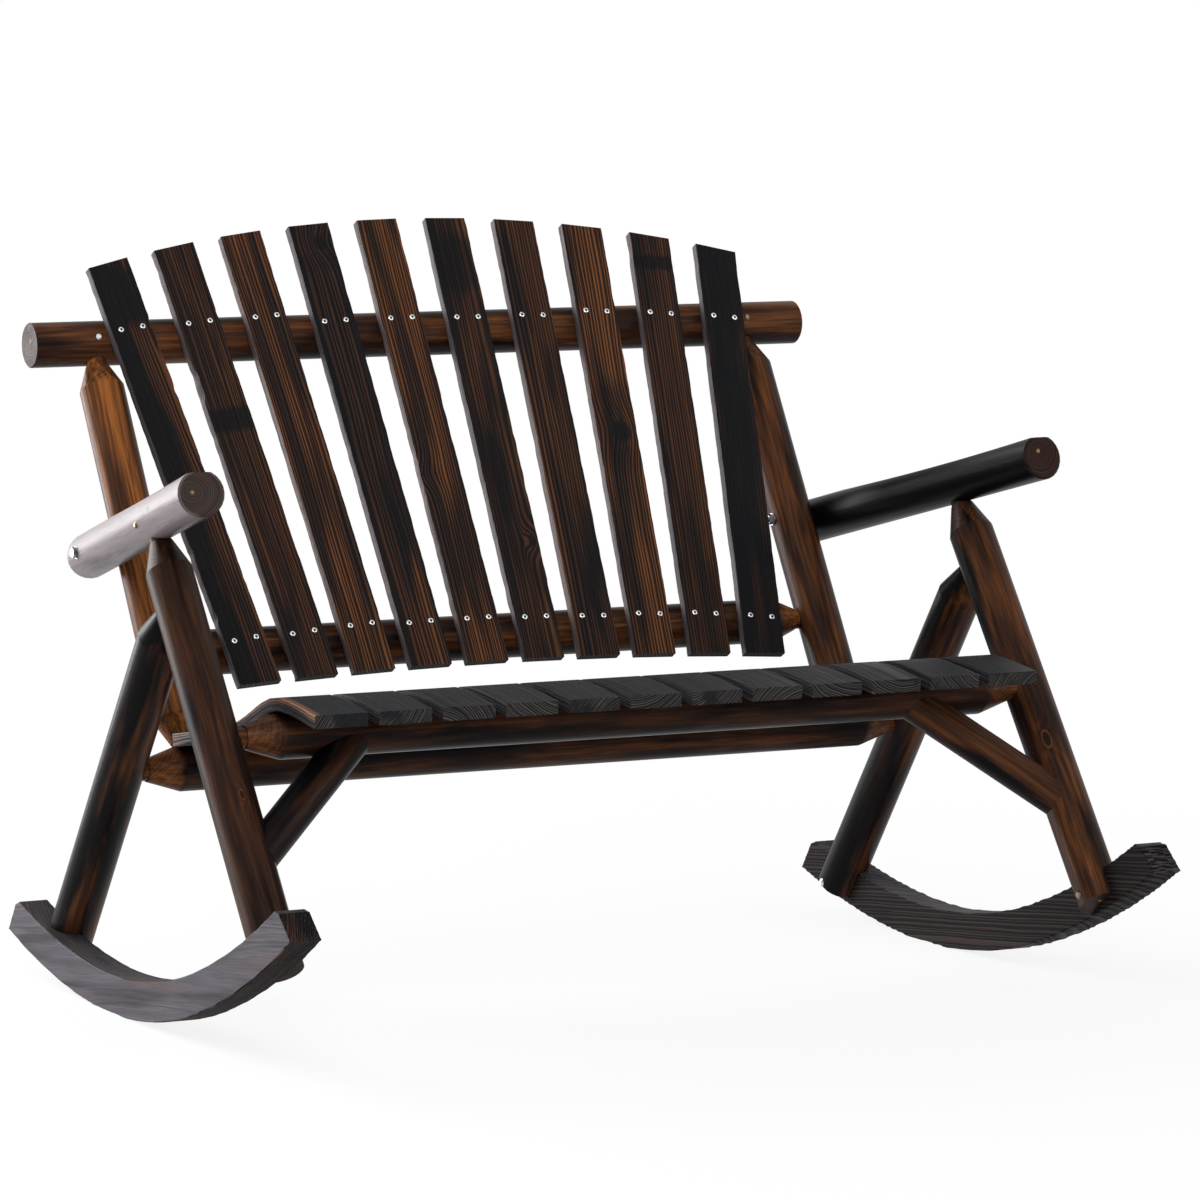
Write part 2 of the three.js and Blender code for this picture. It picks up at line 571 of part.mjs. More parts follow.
// A screw through the arm's outer side into the front leg's tenon
function armPin({ sign, frontHead, armFront, armRear }) {
  const y = frontHead.y;
  const share = (y - armRear.y) / (armFront.y - armRear.y);
  const armX = armRear.x + (armFront.x - armRear.x) * share;
  const head = v3(armX + sign * (ARM_R - PIN_SINK), y, frontHead.z - PIN_BELOW);
  return screw(outwards(v3(0, head.y, head.z), head), PIN_D, PIN_LENGTH, PIN_HEAD_D, PIN_HEAD_HEIGHT);
}

// A screw through the upper rail into a post's tenon
function railPin({ postX }) {
  const rise = radians(RAIL_PIN_RISE);
  const axis = v3(postX, upperRailY, UPPER_BACK_RAIL_Z);
  const head = axis.clone().addScaledVector(v3(0, -Math.cos(rise), Math.sin(rise)), LOG_R - PIN_SINK);
  return screw(outwards(axis, head), PIN_D, PIN_LENGTH, PIN_HEAD_D, PIN_HEAD_HEIGHT);
}

// Assembly, with the rockers level

const pieces = [];
const add = (name, solid, material) => pieces.push({ name, solid, material });
const addSteel = (name, solid) => add(name, solid, ZINC);

function addSide(side, frame, hardware) {
  const { sign, legX, arm, frontLeg, rearLeg, post, brace } = frame;
  const { bolt, frontLag, rearLag, tenonPin, postPin } = hardware;
  const outer = sign * OVERALL_WIDTH / 2;
  const lap = sawn(lapOutline(), legX - sign * GAP, outer + sign * LOG_D);
  const rocker = cut(sawn(rockerOutline(), legX, outer), frontLag.room, rearLag.room);
  const { front_seat_rail: frontRail, rear_seat_rail: rearRail, lower_back_rail: lowRail } = rails;

  add(`rocker_${side}`, rocker, CHARRED);
  add(`front_leg_${side}`,
    cut(frontLeg.solid, lap, frontRail.room, rearLeg.room, frontLag.room, tenonPin.room), FIR);
  add(`rear_leg_${side}`, cut(rearLeg.solid, lap, rearRail.room, rearLag.room), FIR);
  add(`back_post_${side}`, cut(post.solid, lowRail.room, bolt.hole, bolt.innerSeat, postPin.room), FIR);
  add(`arm_${side}`,
    cut(arm.solid, scoop(arm), frontLeg.room, post.room, bolt.hole, bolt.outerSeat, tenonPin.room), FIR);
  add(`brace_${side}`, cut(brace.solid, frontRail.room, frontLeg.room), FIR);

  addSteel(`arm_bolt_${side}`, bolt.bolt);
  addSteel(`arm_washer_outer_${side}`, bolt.washerOutside);
  addSteel(`arm_washer_inner_${side}`, bolt.washerInside);
  addSteel(`arm_nut_${side}`, bolt.nut);
  addSteel(`front_leg_lag_${side}`, frontLag.solid);
  addSteel(`rear_leg_lag_${side}`, rearLag.solid);
  addSteel(`arm_tenon_screw_${side}`, tenonPin.solid);
  addSteel(`upper_rail_screw_${side}`, postPin.solid);
}

const frames = { left: sideFrame(-1), right: sideFrame(1) };
const steel = Object.fromEntries(Object.entries(frames).map(([side, frame]) => [side, {
  bolt: armBolt(frame),
  frontLag: lagScrew(frame, frontLegY),
  rearLag: lagScrew(frame, rearLegY),
  tenonPin: armPin(frame),
  postPin: railPin(frame),
}]));
for (const side of ['left', 'right']) addSide(side, frames[side], steel[side]);

const { left, right } = frames;
add('front_seat_rail', rails.front_seat_rail.solid, FIR);
add('rear_seat_rail', cut(rails.rear_seat_rail.solid, left.post.room, right.post.room), FIR);
add('lower_back_rail', rails.lower_back_rail.solid, FIR);
add('upper_back_rail', cut(rails.upper_back_rail.solid, left.post.room, right.post.room,
  steel.left.postPin.room, steel.right.postPin.room), FIR);

const numbered = (name, index) => `${name}_${String(index + 1).padStart(2, '0')}`;
const blank = backBlank();
for (let i = 0; i < seatBoards.count; i += 1) add(numbered('seat_slat', i), seatSlat(i), CHARRED);
for (let i = 0; i < backBoards.count; i += 1) add(numbered('back_slat', i), backSlat(i, blank), CHARRED);

// The bench rocks back until the flats lie on the floor, where its centre of mass stands over them
const levelBench = new THREE.Group();
for (const { name, solid, material } of pieces) {
  const mesh = new THREE.Mesh(geometryOf(solid), material);
  mesh.name = name;
  levelBench.add(mesh);
}
levelBench.rotation.x = -radians(REST_ANGLE);

// The origin lies on the floor, under the middle of the bench's box
const box = new THREE.Box3().setFromObject(levelBench, true);
levelBench.position.set(0, -(box.min.y + box.max.y) / 2, -box.min.z);

const bench = new THREE.Group();
bench.add(levelBench);
bench.updateMatrixWorld(true);

export default bench;
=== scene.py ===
from functools import partial
from math import atan2, cos, pi, radians, sin, tan

import bmesh
import bpy
import numpy as np
from mathutils import Matrix, Vector


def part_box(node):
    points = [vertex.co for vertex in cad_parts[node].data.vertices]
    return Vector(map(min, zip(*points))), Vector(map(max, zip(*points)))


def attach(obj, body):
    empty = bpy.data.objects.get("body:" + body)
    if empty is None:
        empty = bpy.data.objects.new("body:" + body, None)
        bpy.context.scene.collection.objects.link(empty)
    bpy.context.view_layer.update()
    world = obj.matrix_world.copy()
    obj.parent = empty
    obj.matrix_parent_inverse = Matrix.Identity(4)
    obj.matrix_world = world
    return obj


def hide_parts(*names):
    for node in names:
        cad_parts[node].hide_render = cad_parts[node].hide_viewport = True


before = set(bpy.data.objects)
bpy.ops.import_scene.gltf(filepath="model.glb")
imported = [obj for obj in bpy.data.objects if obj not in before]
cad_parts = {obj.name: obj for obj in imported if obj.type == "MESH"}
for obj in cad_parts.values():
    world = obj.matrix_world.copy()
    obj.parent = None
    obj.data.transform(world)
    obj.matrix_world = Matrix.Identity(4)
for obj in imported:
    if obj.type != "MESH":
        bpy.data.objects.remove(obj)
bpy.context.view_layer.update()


# ---- Rockers ----
# Two curved planks of fir that carry the bench, band-sawn to an arc, charred with a flame and wire-brushed,
# so that the hard late wood stands as ridges over the soft wood. The legs are lapped and screwed on inside.

RECORD_SLOT_BOARDS = "charred_board"
ROCKER_EASE = 0.0016
EASE_MIDDLE = 0.3  # where the middle of an eased corner lies, as a share of the ease
RIM_FADE = 0.006  # the rim keeps its saw line next to a corner
RIM_CORNER = radians(25)
ROCKER_GRAIN_Z = 0.05
ROCKER_BURNT = 0.36
ROCKER_SIDE_WARMTH = -35  # warmth for every metre to the right, times the painted sheen on the left side, so that the side with the painted sheen is the warm one
ROCKER_RIDGE = 0.0003
NO_KNOT = (0, 0, 0)
NO_SCORCH = (9, 0.1, 0)  # a band that lies far off the piece

PITH_WANDER = 0.016
PITH_SWING = 0.09  # the pith swings anew after so much wood across it, and after its period along it
PITH_PERIOD = 0.55
RIPPLE = 0.0022
RIPPLE_SIZE = (0.016, 0.016, 0.11)
KNOT_SWELLING = 2.8  # how many rings rise over a knot
LEAST_KNOT = 0.0005
UNEVEN_YEARS = 1.6
LATE_WOOD = ((0.38, 0.66), (1.0, 0.86))  # the shares of a year over which it comes up, and stops again
BURNT_PATCH = (0.030, 0.030, 0.22)
WARM_ZONE = (0.024, 0.024, 0.30)
FIBRE = (0.0020, 0.0020, 0.060)  # drawn twice as coarse as fir's fibres, so that they show
BAND_RAGGED = 0.014  # how far fibres carry the edge of a scorched band
FIR_IOR = 1.5
WARM_EDGE = (0.38, 0.60)  # each edge is the span over which warm zones, burnt patches, knots or the painted sheen fade in
FLAME_EDGE = (0.92, 1.14)
KNOT_EDGE = (0.75, 0.45)
SHEEN_EDGE = (0.34, 0.54, 0.55)  # with the least painted sheen
YEARLY = (0.40, 0.65)  # how much a line's strength changes with the year, and its least
LESS_SHEEN = (-0.45, 0.92)  # the painted sheen is weaker on the lines of late wood, and a little char shows through it everywhere
FIBRE_LIGHT = (0.9, 0.55)

REST_TILT = 7.1  # degrees that the bench leans back from level rockers
FRONT_RAIL_AXIS = Vector((0, -0.202, 0.370))  # in the frame of the level bench
SMOOTH = {"interpolation_type": "SMOOTHSTEP"}
SIGNS = {"+": "ADD", "-": "SUBTRACT", "*": "MULTIPLY", "/": "DIVIDE", "*+": "MULTIPLY_ADD"}


def middle_of(name):
    """The middle of a CAD node's box."""
    low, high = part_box(name)
    return (low + high) / 2


# From the frame of the level bench, in which the logs' angles are plain, to the frame of the part
tilt = Matrix.Rotation(radians(-REST_TILT), 4, "X")
level = Matrix.Translation(middle_of("front_seat_rail") - tilt @ FRONT_RAIL_AXIS) @ tilt


def linear(code):
    """An sRGB hex colour as the linear values that a shader takes."""
    channels = [int(code[i:i + 2], 16) / 255 for i in (1, 3, 5)]
    return (*[c / 12.92 if c <= 0.04045 else ((c + 0.055) / 1.055) ** 2.4 for c in channels], 1)


def feed(tree, node, inputs):
    """Gives each input of a node what it takes: a value, a socket or the first output of another node."""
    for key, value in inputs.items() if isinstance(inputs, dict) else enumerate(inputs):
        value = value.outputs[0] if isinstance(value, bpy.types.Node) else value
        if isinstance(value, bpy.types.NodeSocket):
            tree.links.new(value, node.inputs[key])
        else:
            node.inputs[key].default_value = value


def add(tree, kind, inputs=(), operation=None, **settings):
    """A node with its settings and inputs. Its kind stands without the prefix where that is ShaderNode."""
    whole = kind.startswith(("Geometry", "Function", "NodeGroup"))
    node = tree.nodes.new(kind if whole else f"ShaderNode{kind}")
    if operation:
        node.operation = SIGNS.get(operation, operation)
    for key, value in settings.items():
        setattr(node, key, value)
    feed(tree, node, inputs)
    return node


def stretched(tree, place, size, detail, roughness=0.5):
    """Soft random patches of a size in metres: their strength and their colour."""
    place = add(tree, "VectorMath", (place, size), "/")
    return add(tree, "TexNoise", {"Vector": place, "Scale": 1.0, "Detail": detail, "Roughness": roughness}).outputs


def layered(tree, base, *layers):
    """A colour with others laid over it in turn, each by its share. A colour is a hex code or a socket."""
    wood = linear(base) if isinstance(base, str) else base
    for share, colour in layers:
        colour = linear(colour) if isinstance(colour, str) else colour
        wood = add(tree, "Mix", {0: share, 6: wood, 7: colour}, data_type="RGBA").outputs[2]
    return wood


def new_material(name):
    """A new material, its node tree and its shader."""
    material = bpy.data.materials.new(name)
    material.use_nodes = True
    return material, material.node_tree, material.node_tree.nodes["Principled BSDF"]


def growth_rings(tree, place, cut, knot, spacing, period=PITH_PERIOD, swelling=KNOT_SWELLING):
    """The rings of the tree that a piece was sawn from, as they cross any face of it.

    The pith runs along the piece and wanders sideways, which gives flames and long ovals. A knot is a branch
    that grows out from the pith: the rings swell round it."""
    new = partial(add, tree)
    seed = new("SeparateXYZ", (cut,)).outputs["Z"]
    knot_angle, knot_along, knot_size = new("SeparateXYZ", (knot,)).outputs
    along = new("SeparateXYZ", (place,)).outputs["Z"]
    own = new("VectorMath", (place, new("CombineXYZ", (seed, seed, seed))), "+")

    moved = place
    for size, detail, swing in (((PITH_SWING, PITH_SWING, period), 2.0, PITH_WANDER), (RIPPLE_SIZE, 1.0, RIPPLE)):
        shift = new("VectorMath", (stretched(tree, own, size, detail)["Color"], (0.5, 0.5, 0.5)), "-")
        moved = new("VectorMath", (moved, new("VectorMath", (shift, (swing, swing, 0)), "*")), "+")
    from_pith = new("VectorMath", (new("VectorMath", (moved, cut), "-"), (1, 1, 0)), "*")
    radius = new("VectorMath", (from_pith,), "LENGTH").outputs["Value"]

    branch = new("CombineXYZ", [new("Math", (knot_angle,), turn) for turn in ("COSINE", "SINE")])
    outward = new("VectorMath", (from_pith, branch), "DOT_PRODUCT").outputs["Value"]
    on_branch = new("VectorMath", {0: branch, "Scale": outward}, "SCALE")
    beside = new("VectorMath", (from_pith, on_branch), "-")
    up_branch = new("Math", (new("Math", (along, knot_along), "-"), 0.5), "*")
    beside = new("VectorMath", (beside, new("CombineXYZ", {"Z": up_branch})), "+")
    beside = new("VectorMath", (beside,), "LENGTH").outputs["Value"]
    reach = new("Math", (beside, new("Math", (knot_size, LEAST_KNOT / 5), "MAXIMUM")), "/")
    there = new("Math", (knot_size, LEAST_KNOT), "GREATER_THAN")
    there = new("Math", (there, new("Math", (outward, 0.0), "GREATER_THAN")), "*")
    hill = new("Math", (new("Math", (reach, reach), "*"), -0.5), "*")
    hill = new("Math", (new("Math", (hill,), "EXPONENT"), there), "*")
    core = new("Math", (new("MapRange", (reach, *KNOT_EDGE), **SMOOTH), there), "*")

    # Good and poor years are wide and narrow rings, and late wood stops at the winter
    count = new("Math", (hill, swelling, new("Math", (radius, spacing), "/")), "*+")
    uneven = new("Math", (count, seed), "+")
    uneven = new("TexNoise", {"W": uneven, "Scale": 0.45, "Detail": 1.0}, noise_dimensions="1D")
    count = new("Math", (uneven, UNEVEN_YEARS, count), "*+")
    year = new("Math", (seed, 13.0, new("Math", (count,), "FLOOR")), "*+")
    year = new("TexWhiteNoise", {"W": year}, noise_dimensions="1D").outputs["Value"]
    season = new("Math", (count,), "FRACT")
    rise, fall = (new("MapRange", (season, *span), **SMOOTH) for span in LATE_WOOD)
    return own, radius, new("Math", (rise, fall), "*"), year, core


def charred_fir(name, rings, charcoal, dark_wood, brown, orange, end_line, rubbed_char, ridge, satin, roughness):
    """Fir board, charred and brushed: near black and dull, with the late wood left as narrow brown lines.

    Each piece's own attributes say where the pith lies (cut), how much the flame burnt, how warm the wood is
    and how strong its lines are (tone), how that shifts across (side), its knot, its scorched band, and where
    a slate grey is painted on as a sheen, standing for the lamps' light on edges, rims and lit sides."""
    material, tree, shader = new_material(name)
    new = partial(add, tree)
    place, cut, knot, tone, side, scorch = (
        new("Attribute", attribute_name=word).outputs["Vector"]
        for word in ("grain", "cut", "knot", "tone", "side", "scorch"))
    ends, rubbed = (new("Attribute", attribute_name=word).outputs["Fac"] for word in ("end", "rubbed"))
    own, _, late, year, core = growth_rings(tree, place, cut, knot, rings)
    across, _, along = new("SeparateXYZ", (place,)).outputs
    burnt, warmth, contrast = new("SeparateXYZ", (tone,)).outputs
    burnt_side, warm_side, _ = new("SeparateXYZ", (side,)).outputs
    burnt = new("Math", (across, burnt_side, burnt), "*+")
    warmth = new("Math", (across, warm_side, warmth), "*+")
    band_at, band_half, band_depth = new("SeparateXYZ", (scorch,)).outputs
    patches = stretched(tree, own, BURNT_PATCH, 2.0)[0]
    zones = new("SeparateXYZ", (stretched(tree, own, WARM_ZONE, 1.0)["Color"],)).outputs["Y"]
    fibre = stretched(tree, own, FIBRE, 2.0, 0.6)[0]

    warm_here = new("MapRange", (zones, *WARM_EDGE), **SMOOTH)
    warm_here = new("Math", (warm_here, warmth), "*", use_clamp=True)
    line = new("Math", (late, new("Math", (year, *YEARLY), "*+")), "*")
    line = new("Math", (line, contrast), "*", use_clamp=True)
    ragged = new("Math", (new("Math", (fibre, 0.5), "-"), BAND_RAGGED), "*")
    from_band = new("Math", (new("Math", (new("Math", (along, band_at), "-"),), "ABSOLUTE"), ragged), "+")
    band = new("MapRange", (from_band, band_half, new("Math", (band_half, 0.55), "*")), **SMOOTH)
    flame = new("MapRange", (new("Math", (patches, burnt), "+"), *FLAME_EDGE), **SMOOTH)
    flame = new("Math", (flame, new("Math", (band, band_depth), "*")), "MAXIMUM")
    # A slate grey laid over edges, rims and lit sides: a painted sheen that stands for the lamps' light on them
    sheen_share = new("Math", (new("Math", (line, *LESS_SHEEN), "*+"), rubbed), "*")
    sheen_share = new("Math", (sheen_share, new("MapRange", (zones, *SHEEN_EDGE), **SMOOTH)), "*")

    soft = layered(tree, charcoal, (warm_here, dark_wood), (ends, charcoal))
    hard = layered(tree, brown, (warm_here, orange), (ends, end_line))
    in_knot, in_flame = new("Math", (core, 0.8), "*"), new("Math", (flame, 0.9), "*")
    wood = layered(tree, soft, (line, hard), (in_knot, charcoal), (in_flame, charcoal), (sheen_share, rubbed_char))
    light = new("Math", (fibre, *FIBRE_LIGHT), "*+")
    height = new("Math", (fibre, 0.5, late), "*+")
    feed(tree, shader, {
        "Base Color": new("VectorMath", {0: wood, "Scale": light}, "SCALE"),
        "Roughness": new("Math", (line, -0.12, roughness), "*+"),
        "Normal": new("Bump", {"Strength": 0.8, "Distance": ridge, "Height": height}),
        "IOR": FIR_IOR, "Specular IOR Level": satin})
    return material


def store(mesh, domain, kind="FLOAT", **layers):
    """Stores numbers with a mesh's points or faces, which its material reads by name."""
    for name, values in layers.items():
        field = mesh.attributes.new(name, kind, domain).data
        field.foreach_set("value" if kind == "FLOAT" else "vector", values)


def mark(mesh, **values):
    """Stores one vector for a whole piece, under each name."""
    count = len(mesh.vertices)
    store(mesh, "POINT", "FLOAT_VECTOR", **{name: list(value) * count for name, value in values.items()})


def merged_copy(node):
    """A CAD node's shape as a mesh of its own, with its loose triangles joined."""
    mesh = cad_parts[node].data.copy()
    mesh.name = f"{node}_wood"
    mesh.materials.clear()
    shape = bmesh.new()
    shape.from_mesh(mesh)
    bmesh.ops.remove_doubles(shape, verts=shape.verts, dist=1e-6)
    bmesh.ops.dissolve_limit(shape, angle_limit=radians(0.05), verts=shape.verts, edges=shape.edges)
    shape.to_mesh(mesh)
    shape.free()
    while mesh.attributes.get("custom_normal"):
        mesh.attributes.remove(mesh.attributes["custom_normal"])
    return mesh


def grain_along(mesh, placed):
    """Stores where each point lies in the wood: across, through and along the grain."""
    points = np.empty(len(mesh.vertices) * 3, np.float32)
    mesh.vertices.foreach_get("co", points)
    inverse = np.array(placed.inverted())
    points = points.reshape(-1, 3) @ inverse[:3, :3].T + inverse[:3, 3]
    store(mesh, "POINT", "FLOAT_VECTOR", grain=points.astype(np.float32).ravel())


def new_object(name, data):
    """An object in the scene."""
    made = bpy.data.objects.new(name, data)
    bpy.context.scene.collection.objects.link(made)
    return made


def finished(name, mesh, slot, *nodes):
    """Makes the finished piece that stands for its CAD nodes and moves with the bench."""
    piece = new_object(f"{name}_look", mesh)
    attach(piece, "root")
    if nodes:
        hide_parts(*nodes)


def smoothed(mesh, degrees):
    """Shades a mesh smooth, with a sharp line wherever it turns by more than an angle."""
    mesh.shade_smooth()
    mesh.set_sharp_from_angle(angle=radians(degrees))


def grown(name, source, tree, **values):
    """The plain mesh that a Geometry Nodes tree makes from a curve or mesh and from its named inputs."""
    maker = new_object(f"{name}_maker", source)
    modifier = maker.modifiers.new("maker", "NODES")
    modifier.node_group = tree
    sockets = {item.name: item.identifier for item in tree.interface.items_tree if item.in_out == "INPUT"}
    for key, value in values.items():
        modifier[sockets[key.replace("_", " ").capitalize()]] = value
    bpy.context.view_layer.update()
    ready = bpy.context.evaluated_depsgraph_get()
    mesh = bpy.data.meshes.new_from_object(maker.evaluated_get(ready), preserve_all_data_layers=True, depsgraph=ready)
    mesh.name = f"{name}_mesh"
    maker.modifiers.clear()
    bpy.data.objects.remove(maker)
    return mesh


def shape_tree(name, *takes):
    """A Geometry Nodes tree with its named inputs, each of a kind and maybe with a first value, and one output."""
    tree = bpy.data.node_groups.new(name, "GeometryNodeTree")
    tree.is_modifier = True
    for word, kind, *first in takes:
        socket = tree.interface.new_socket(word, in_out="INPUT", socket_type=f"NodeSocket{kind}")
        if first:
            socket.default_value = first[0]
    tree.interface.new_socket("Shape", in_out="OUTPUT", socket_type="NodeSocketGeometry")
    return tree, add(tree, "NodeGroupInput").outputs


def dressed(tree, shape, material):
    """Ends a Geometry Nodes tree: instances become real and take their material."""
    real = add(tree, "GeometryNodeRealizeInstances", (shape,))
    wearing = add(tree, "GeometryNodeSetMaterial", {"Geometry": real, "Material": material})
    add(tree, "NodeGroupOutput", (wearing,))
    return tree


def brushed_rim_tree(rings):
    """Brushes the soft wood out of a plank's rim, between the same late-wood lines that its material shows."""
    tree, given = shape_tree("brushed_rim", ("Plank", "Geometry"), ("Depth", "Float", 0.001), ("Wood", "Material"))
    place, cut, knot, rim = (
        add(tree, "GeometryNodeInputNamedAttribute", {"Name": word}, data_type="FLOAT_VECTOR").outputs["Attribute"]
        for word in ("grain", "cut", "knot", "rim"))
    late = growth_rings(tree, place, cut, knot, rings)[2]
    brushed = add(tree, "Math", (add(tree, "Math", (late, 1.0), "-"), given["Depth"]), "*")
    inwards = add(tree, "VectorMath", {0: rim, "Scale": brushed}, "SCALE")
    shaped = add(tree, "GeometryNodeSetPosition", {"Geometry": given["Plank"], "Offset": inwards})
    return dressed(tree, shaped, given["Wood"])


def side_outline(mesh, step):
    """The outline of a plank's right side, in order and a step apart, with the way out of the plank at each point.

    The way out is shorter next to a corner of the saw line, where the brush can't reach so deep."""
    shape = bmesh.new()
    shape.from_mesh(mesh)
    after = {}
    for face in shape.faces:
        if face.normal.x > 0.99:
            for corner in face.loops:
                if corner.link_loop_radial_next.face.normal.x < 0.9:
                    after[corner.vert.index] = corner.link_loop_next.vert.index
    places = [v.co.yz for v in shape.verts]
    shape.free()
    outlines = []
    while after:
        start, at = after.popitem()
        outline = [start]
        while at != start:
            outline.append(at)
            at = after.pop(at)
        outlines.append([places[index] for index in outline])
    outline = max(outlines, key=lambda points: sum((b - a).length for a, b in zip(points, points[1:])))
    points = []
    for a, b in zip(outline, outline[1:] + outline[:1]):
        steps = max(1, round((b - a).length / step))
        points.extend(a.lerp(b, part / steps) for part in range(steps))
    ways, corners = [], []
    for index, point in enumerate(points):
        before, on = point - points[index - 1], points[(index + 1) % len(points)] - point
        if before.angle(on) > RIM_CORNER:
            corners.append(point)
        on = (before + on).normalized()
        ways.append(Vector((on.y, -on.x)))
    reach = [min(1, min((point - corner).length for corner in corners) / RIM_FADE) for point in points]
    return points, ways, reach


def brushed_plank(name, step, across):
    """A rocker's plank with eased corners, its rim in fine steps along and across, ready to be brushed."""
    source = merged_copy(name)
    points, ways, reach = side_outline(source, step)
    bpy.data.meshes.remove(source)
    low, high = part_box(name)
    middle, half = (low.x + high.x) / 2, (high.x - low.x) / 2
    flat, next_in = half - ROCKER_EASE, half - EASE_MIDDLE * ROCKER_EASE
    columns = [(-half, 1.0), (-next_in, EASE_MIDDLE)]
    columns += [(flat * (2 * part / across - 1), 0.0) for part in range(across + 1)]
    columns += [(next_in, EASE_MIDDLE), (half, 1.0)]
    shape = bmesh.new()
    rows = [[shape.verts.new((middle + x, *point)) for x, _ in columns] for point in points]
    sides = [shape.faces.new([row[0] for row in reversed(rows)]), shape.faces.new([row[-1] for row in rows])]
    bmesh.ops.triangulate(shape, faces=sides, ngon_method="BEAUTY")
    for row, following in zip(rows, rows[1:] + rows[:1]):
        for column in range(len(columns) - 1):
            shape.faces.new((row[column], following[column], following[column + 1], row[column + 1]))
    for row, point, way in zip(rows, points, ways):
        for vert, (_, inset) in zip(row, columns):
            vert.co.yz = point - way * inset * ROCKER_EASE
    mesh = bpy.data.meshes.new(f"{name}_plank")
    shape.to_mesh(mesh)
    shape.free()
    rim = [part for way, share in zip(ways, reach) for _ in columns for part in (0.0, way.x * share, way.y * share)]
    store(mesh, "POINT", "FLOAT_VECTOR", rim=rim)
    return mesh


# Each plank: one year's growth, its pith beside or below, step along the rim, steps across, how deep the rim is
# brushed, how warm and how strong its lines are, and how strong the painted sheen is on its left side and upper rim.
# The left one is flat-sawn, with lines along its rim, and the right one rift-sawn.
ROCKERS = {"rocker_left": (0.0034, (0.13, 0.02), 0.004, 36, 0.0005, 0.2, 0.50, 1.0, 0.3),
           "rocker_right": (0.0053, (-0.05, -0.15), 0.002, 4, 0.0009, 0.0, 0.82, 0.0, 0.6)}
lengthwise = Matrix(((1, 0, 0, 0), (0, 0, 1, 0), (0, 1, 0, 0), (0, 0, 0, 1)))  # the grain runs from front to back

for name, (rings, pith, step, across, depth, warmth, lines, side_rubbed, rim_rubbed) in ROCKERS.items():
    plank = brushed_plank(name, step, across)
    placed = level @ Matrix.Translation((middle_of(name).x, 0, ROCKER_GRAIN_Z)) @ lengthwise
    grain_along(plank, placed)
    mark(plank, cut=(*pith, 4.0 + rings * 1000), tone=(ROCKER_BURNT, warmth, lines),
         side=(0, ROCKER_SIDE_WARMTH * side_rubbed, 0), knot=NO_KNOT, scorch=NO_SCORCH)
    wood = charred_fir(f"charred_fir_{name}", rings, "#0f0f11", "#1a1515", "#362b28", "#6a4636", "#2e2726", "#56545a",
                       ROCKER_RIDGE, 0.03, 0.60)
    mesh = grown(name, plank, brushed_rim_tree(rings), depth=depth, wood=wood)
    mesh.attributes.remove(mesh.attributes["grain"])
    grain_along(mesh, placed)
    # A slate-grey painted sheen: on the left plank's outer side, for the back-left lamp's light, and on rims that face
    # up, for light from above
    store(mesh, "FACE", rubbed=[side_rubbed * float(face.normal.x < -0.9) + rim_rubbed * float(face.normal.z > 0.8)
                                for face in mesh.polygons])
    smoothed(mesh, 50)
    for face in mesh.polygons:
        face.use_smooth = abs(face.normal.x) < 0.99
    finished(name, mesh, RECORD_SLOT_BOARDS, name)


# ---- Legs, posts and rails ----
# Fir poles turned to one thickness, with pencil cones and round tenons at their ends. They are burnt, rubbed
# down and varnished satin, so that orange-brown flames of the grain show between near-black flanks.

RECORD_SLOT_LOGS = "varnished_log"
LOG_RINGS = 0.0026  # one year's growth in a slow-grown pole
LOG_PERIOD = 0.40
LOG_SWELLING = 1.8
LOG_PATCH = (0.026, 0.026, 0.22)
LOG_STREAK = (0.0060, 0.0060, 0.16)
LOG_FIBRE = (0.0020, 0.0020, 0.050)  # as coarse as the boards' fibres
LOG_RIDGE = 0.0003
LOG_R = 0.0315
CONE_EDGE = (LOG_R * 0.99, LOG_R * 0.80)  # the girth at which a cone begins, and at which it is all cone
PITH_EDGE = (0.0034, 0.0018)
KEPT_AND_LIT_EDGE = (-0.06, 0.22)
GLOW_EDGE = (0.42, 0.68)
STREAK_EDGE = (0.34, 0.74)
LOG_YEARLY = (0.7, 0.3)
LOG_LIGHT = (0.8, 0.60)
LOG_SHINE = (0.3, 0.7, 0.29, 0.39)  # patches of this strength are as rough as this
ROUND_WITHIN = radians(8.5)  # how truly a turned face looks away from the axis
LEG_X = 0.607
POST_X = 0.509
LEG_FRONT = (-0.196, 0.370, 30.0)  # a point on the axis and the lean back of its top, in degrees
LEG_REAR = (0.144, 0.328, -44.2)
POST = (0.144, 0.328, 24.4)


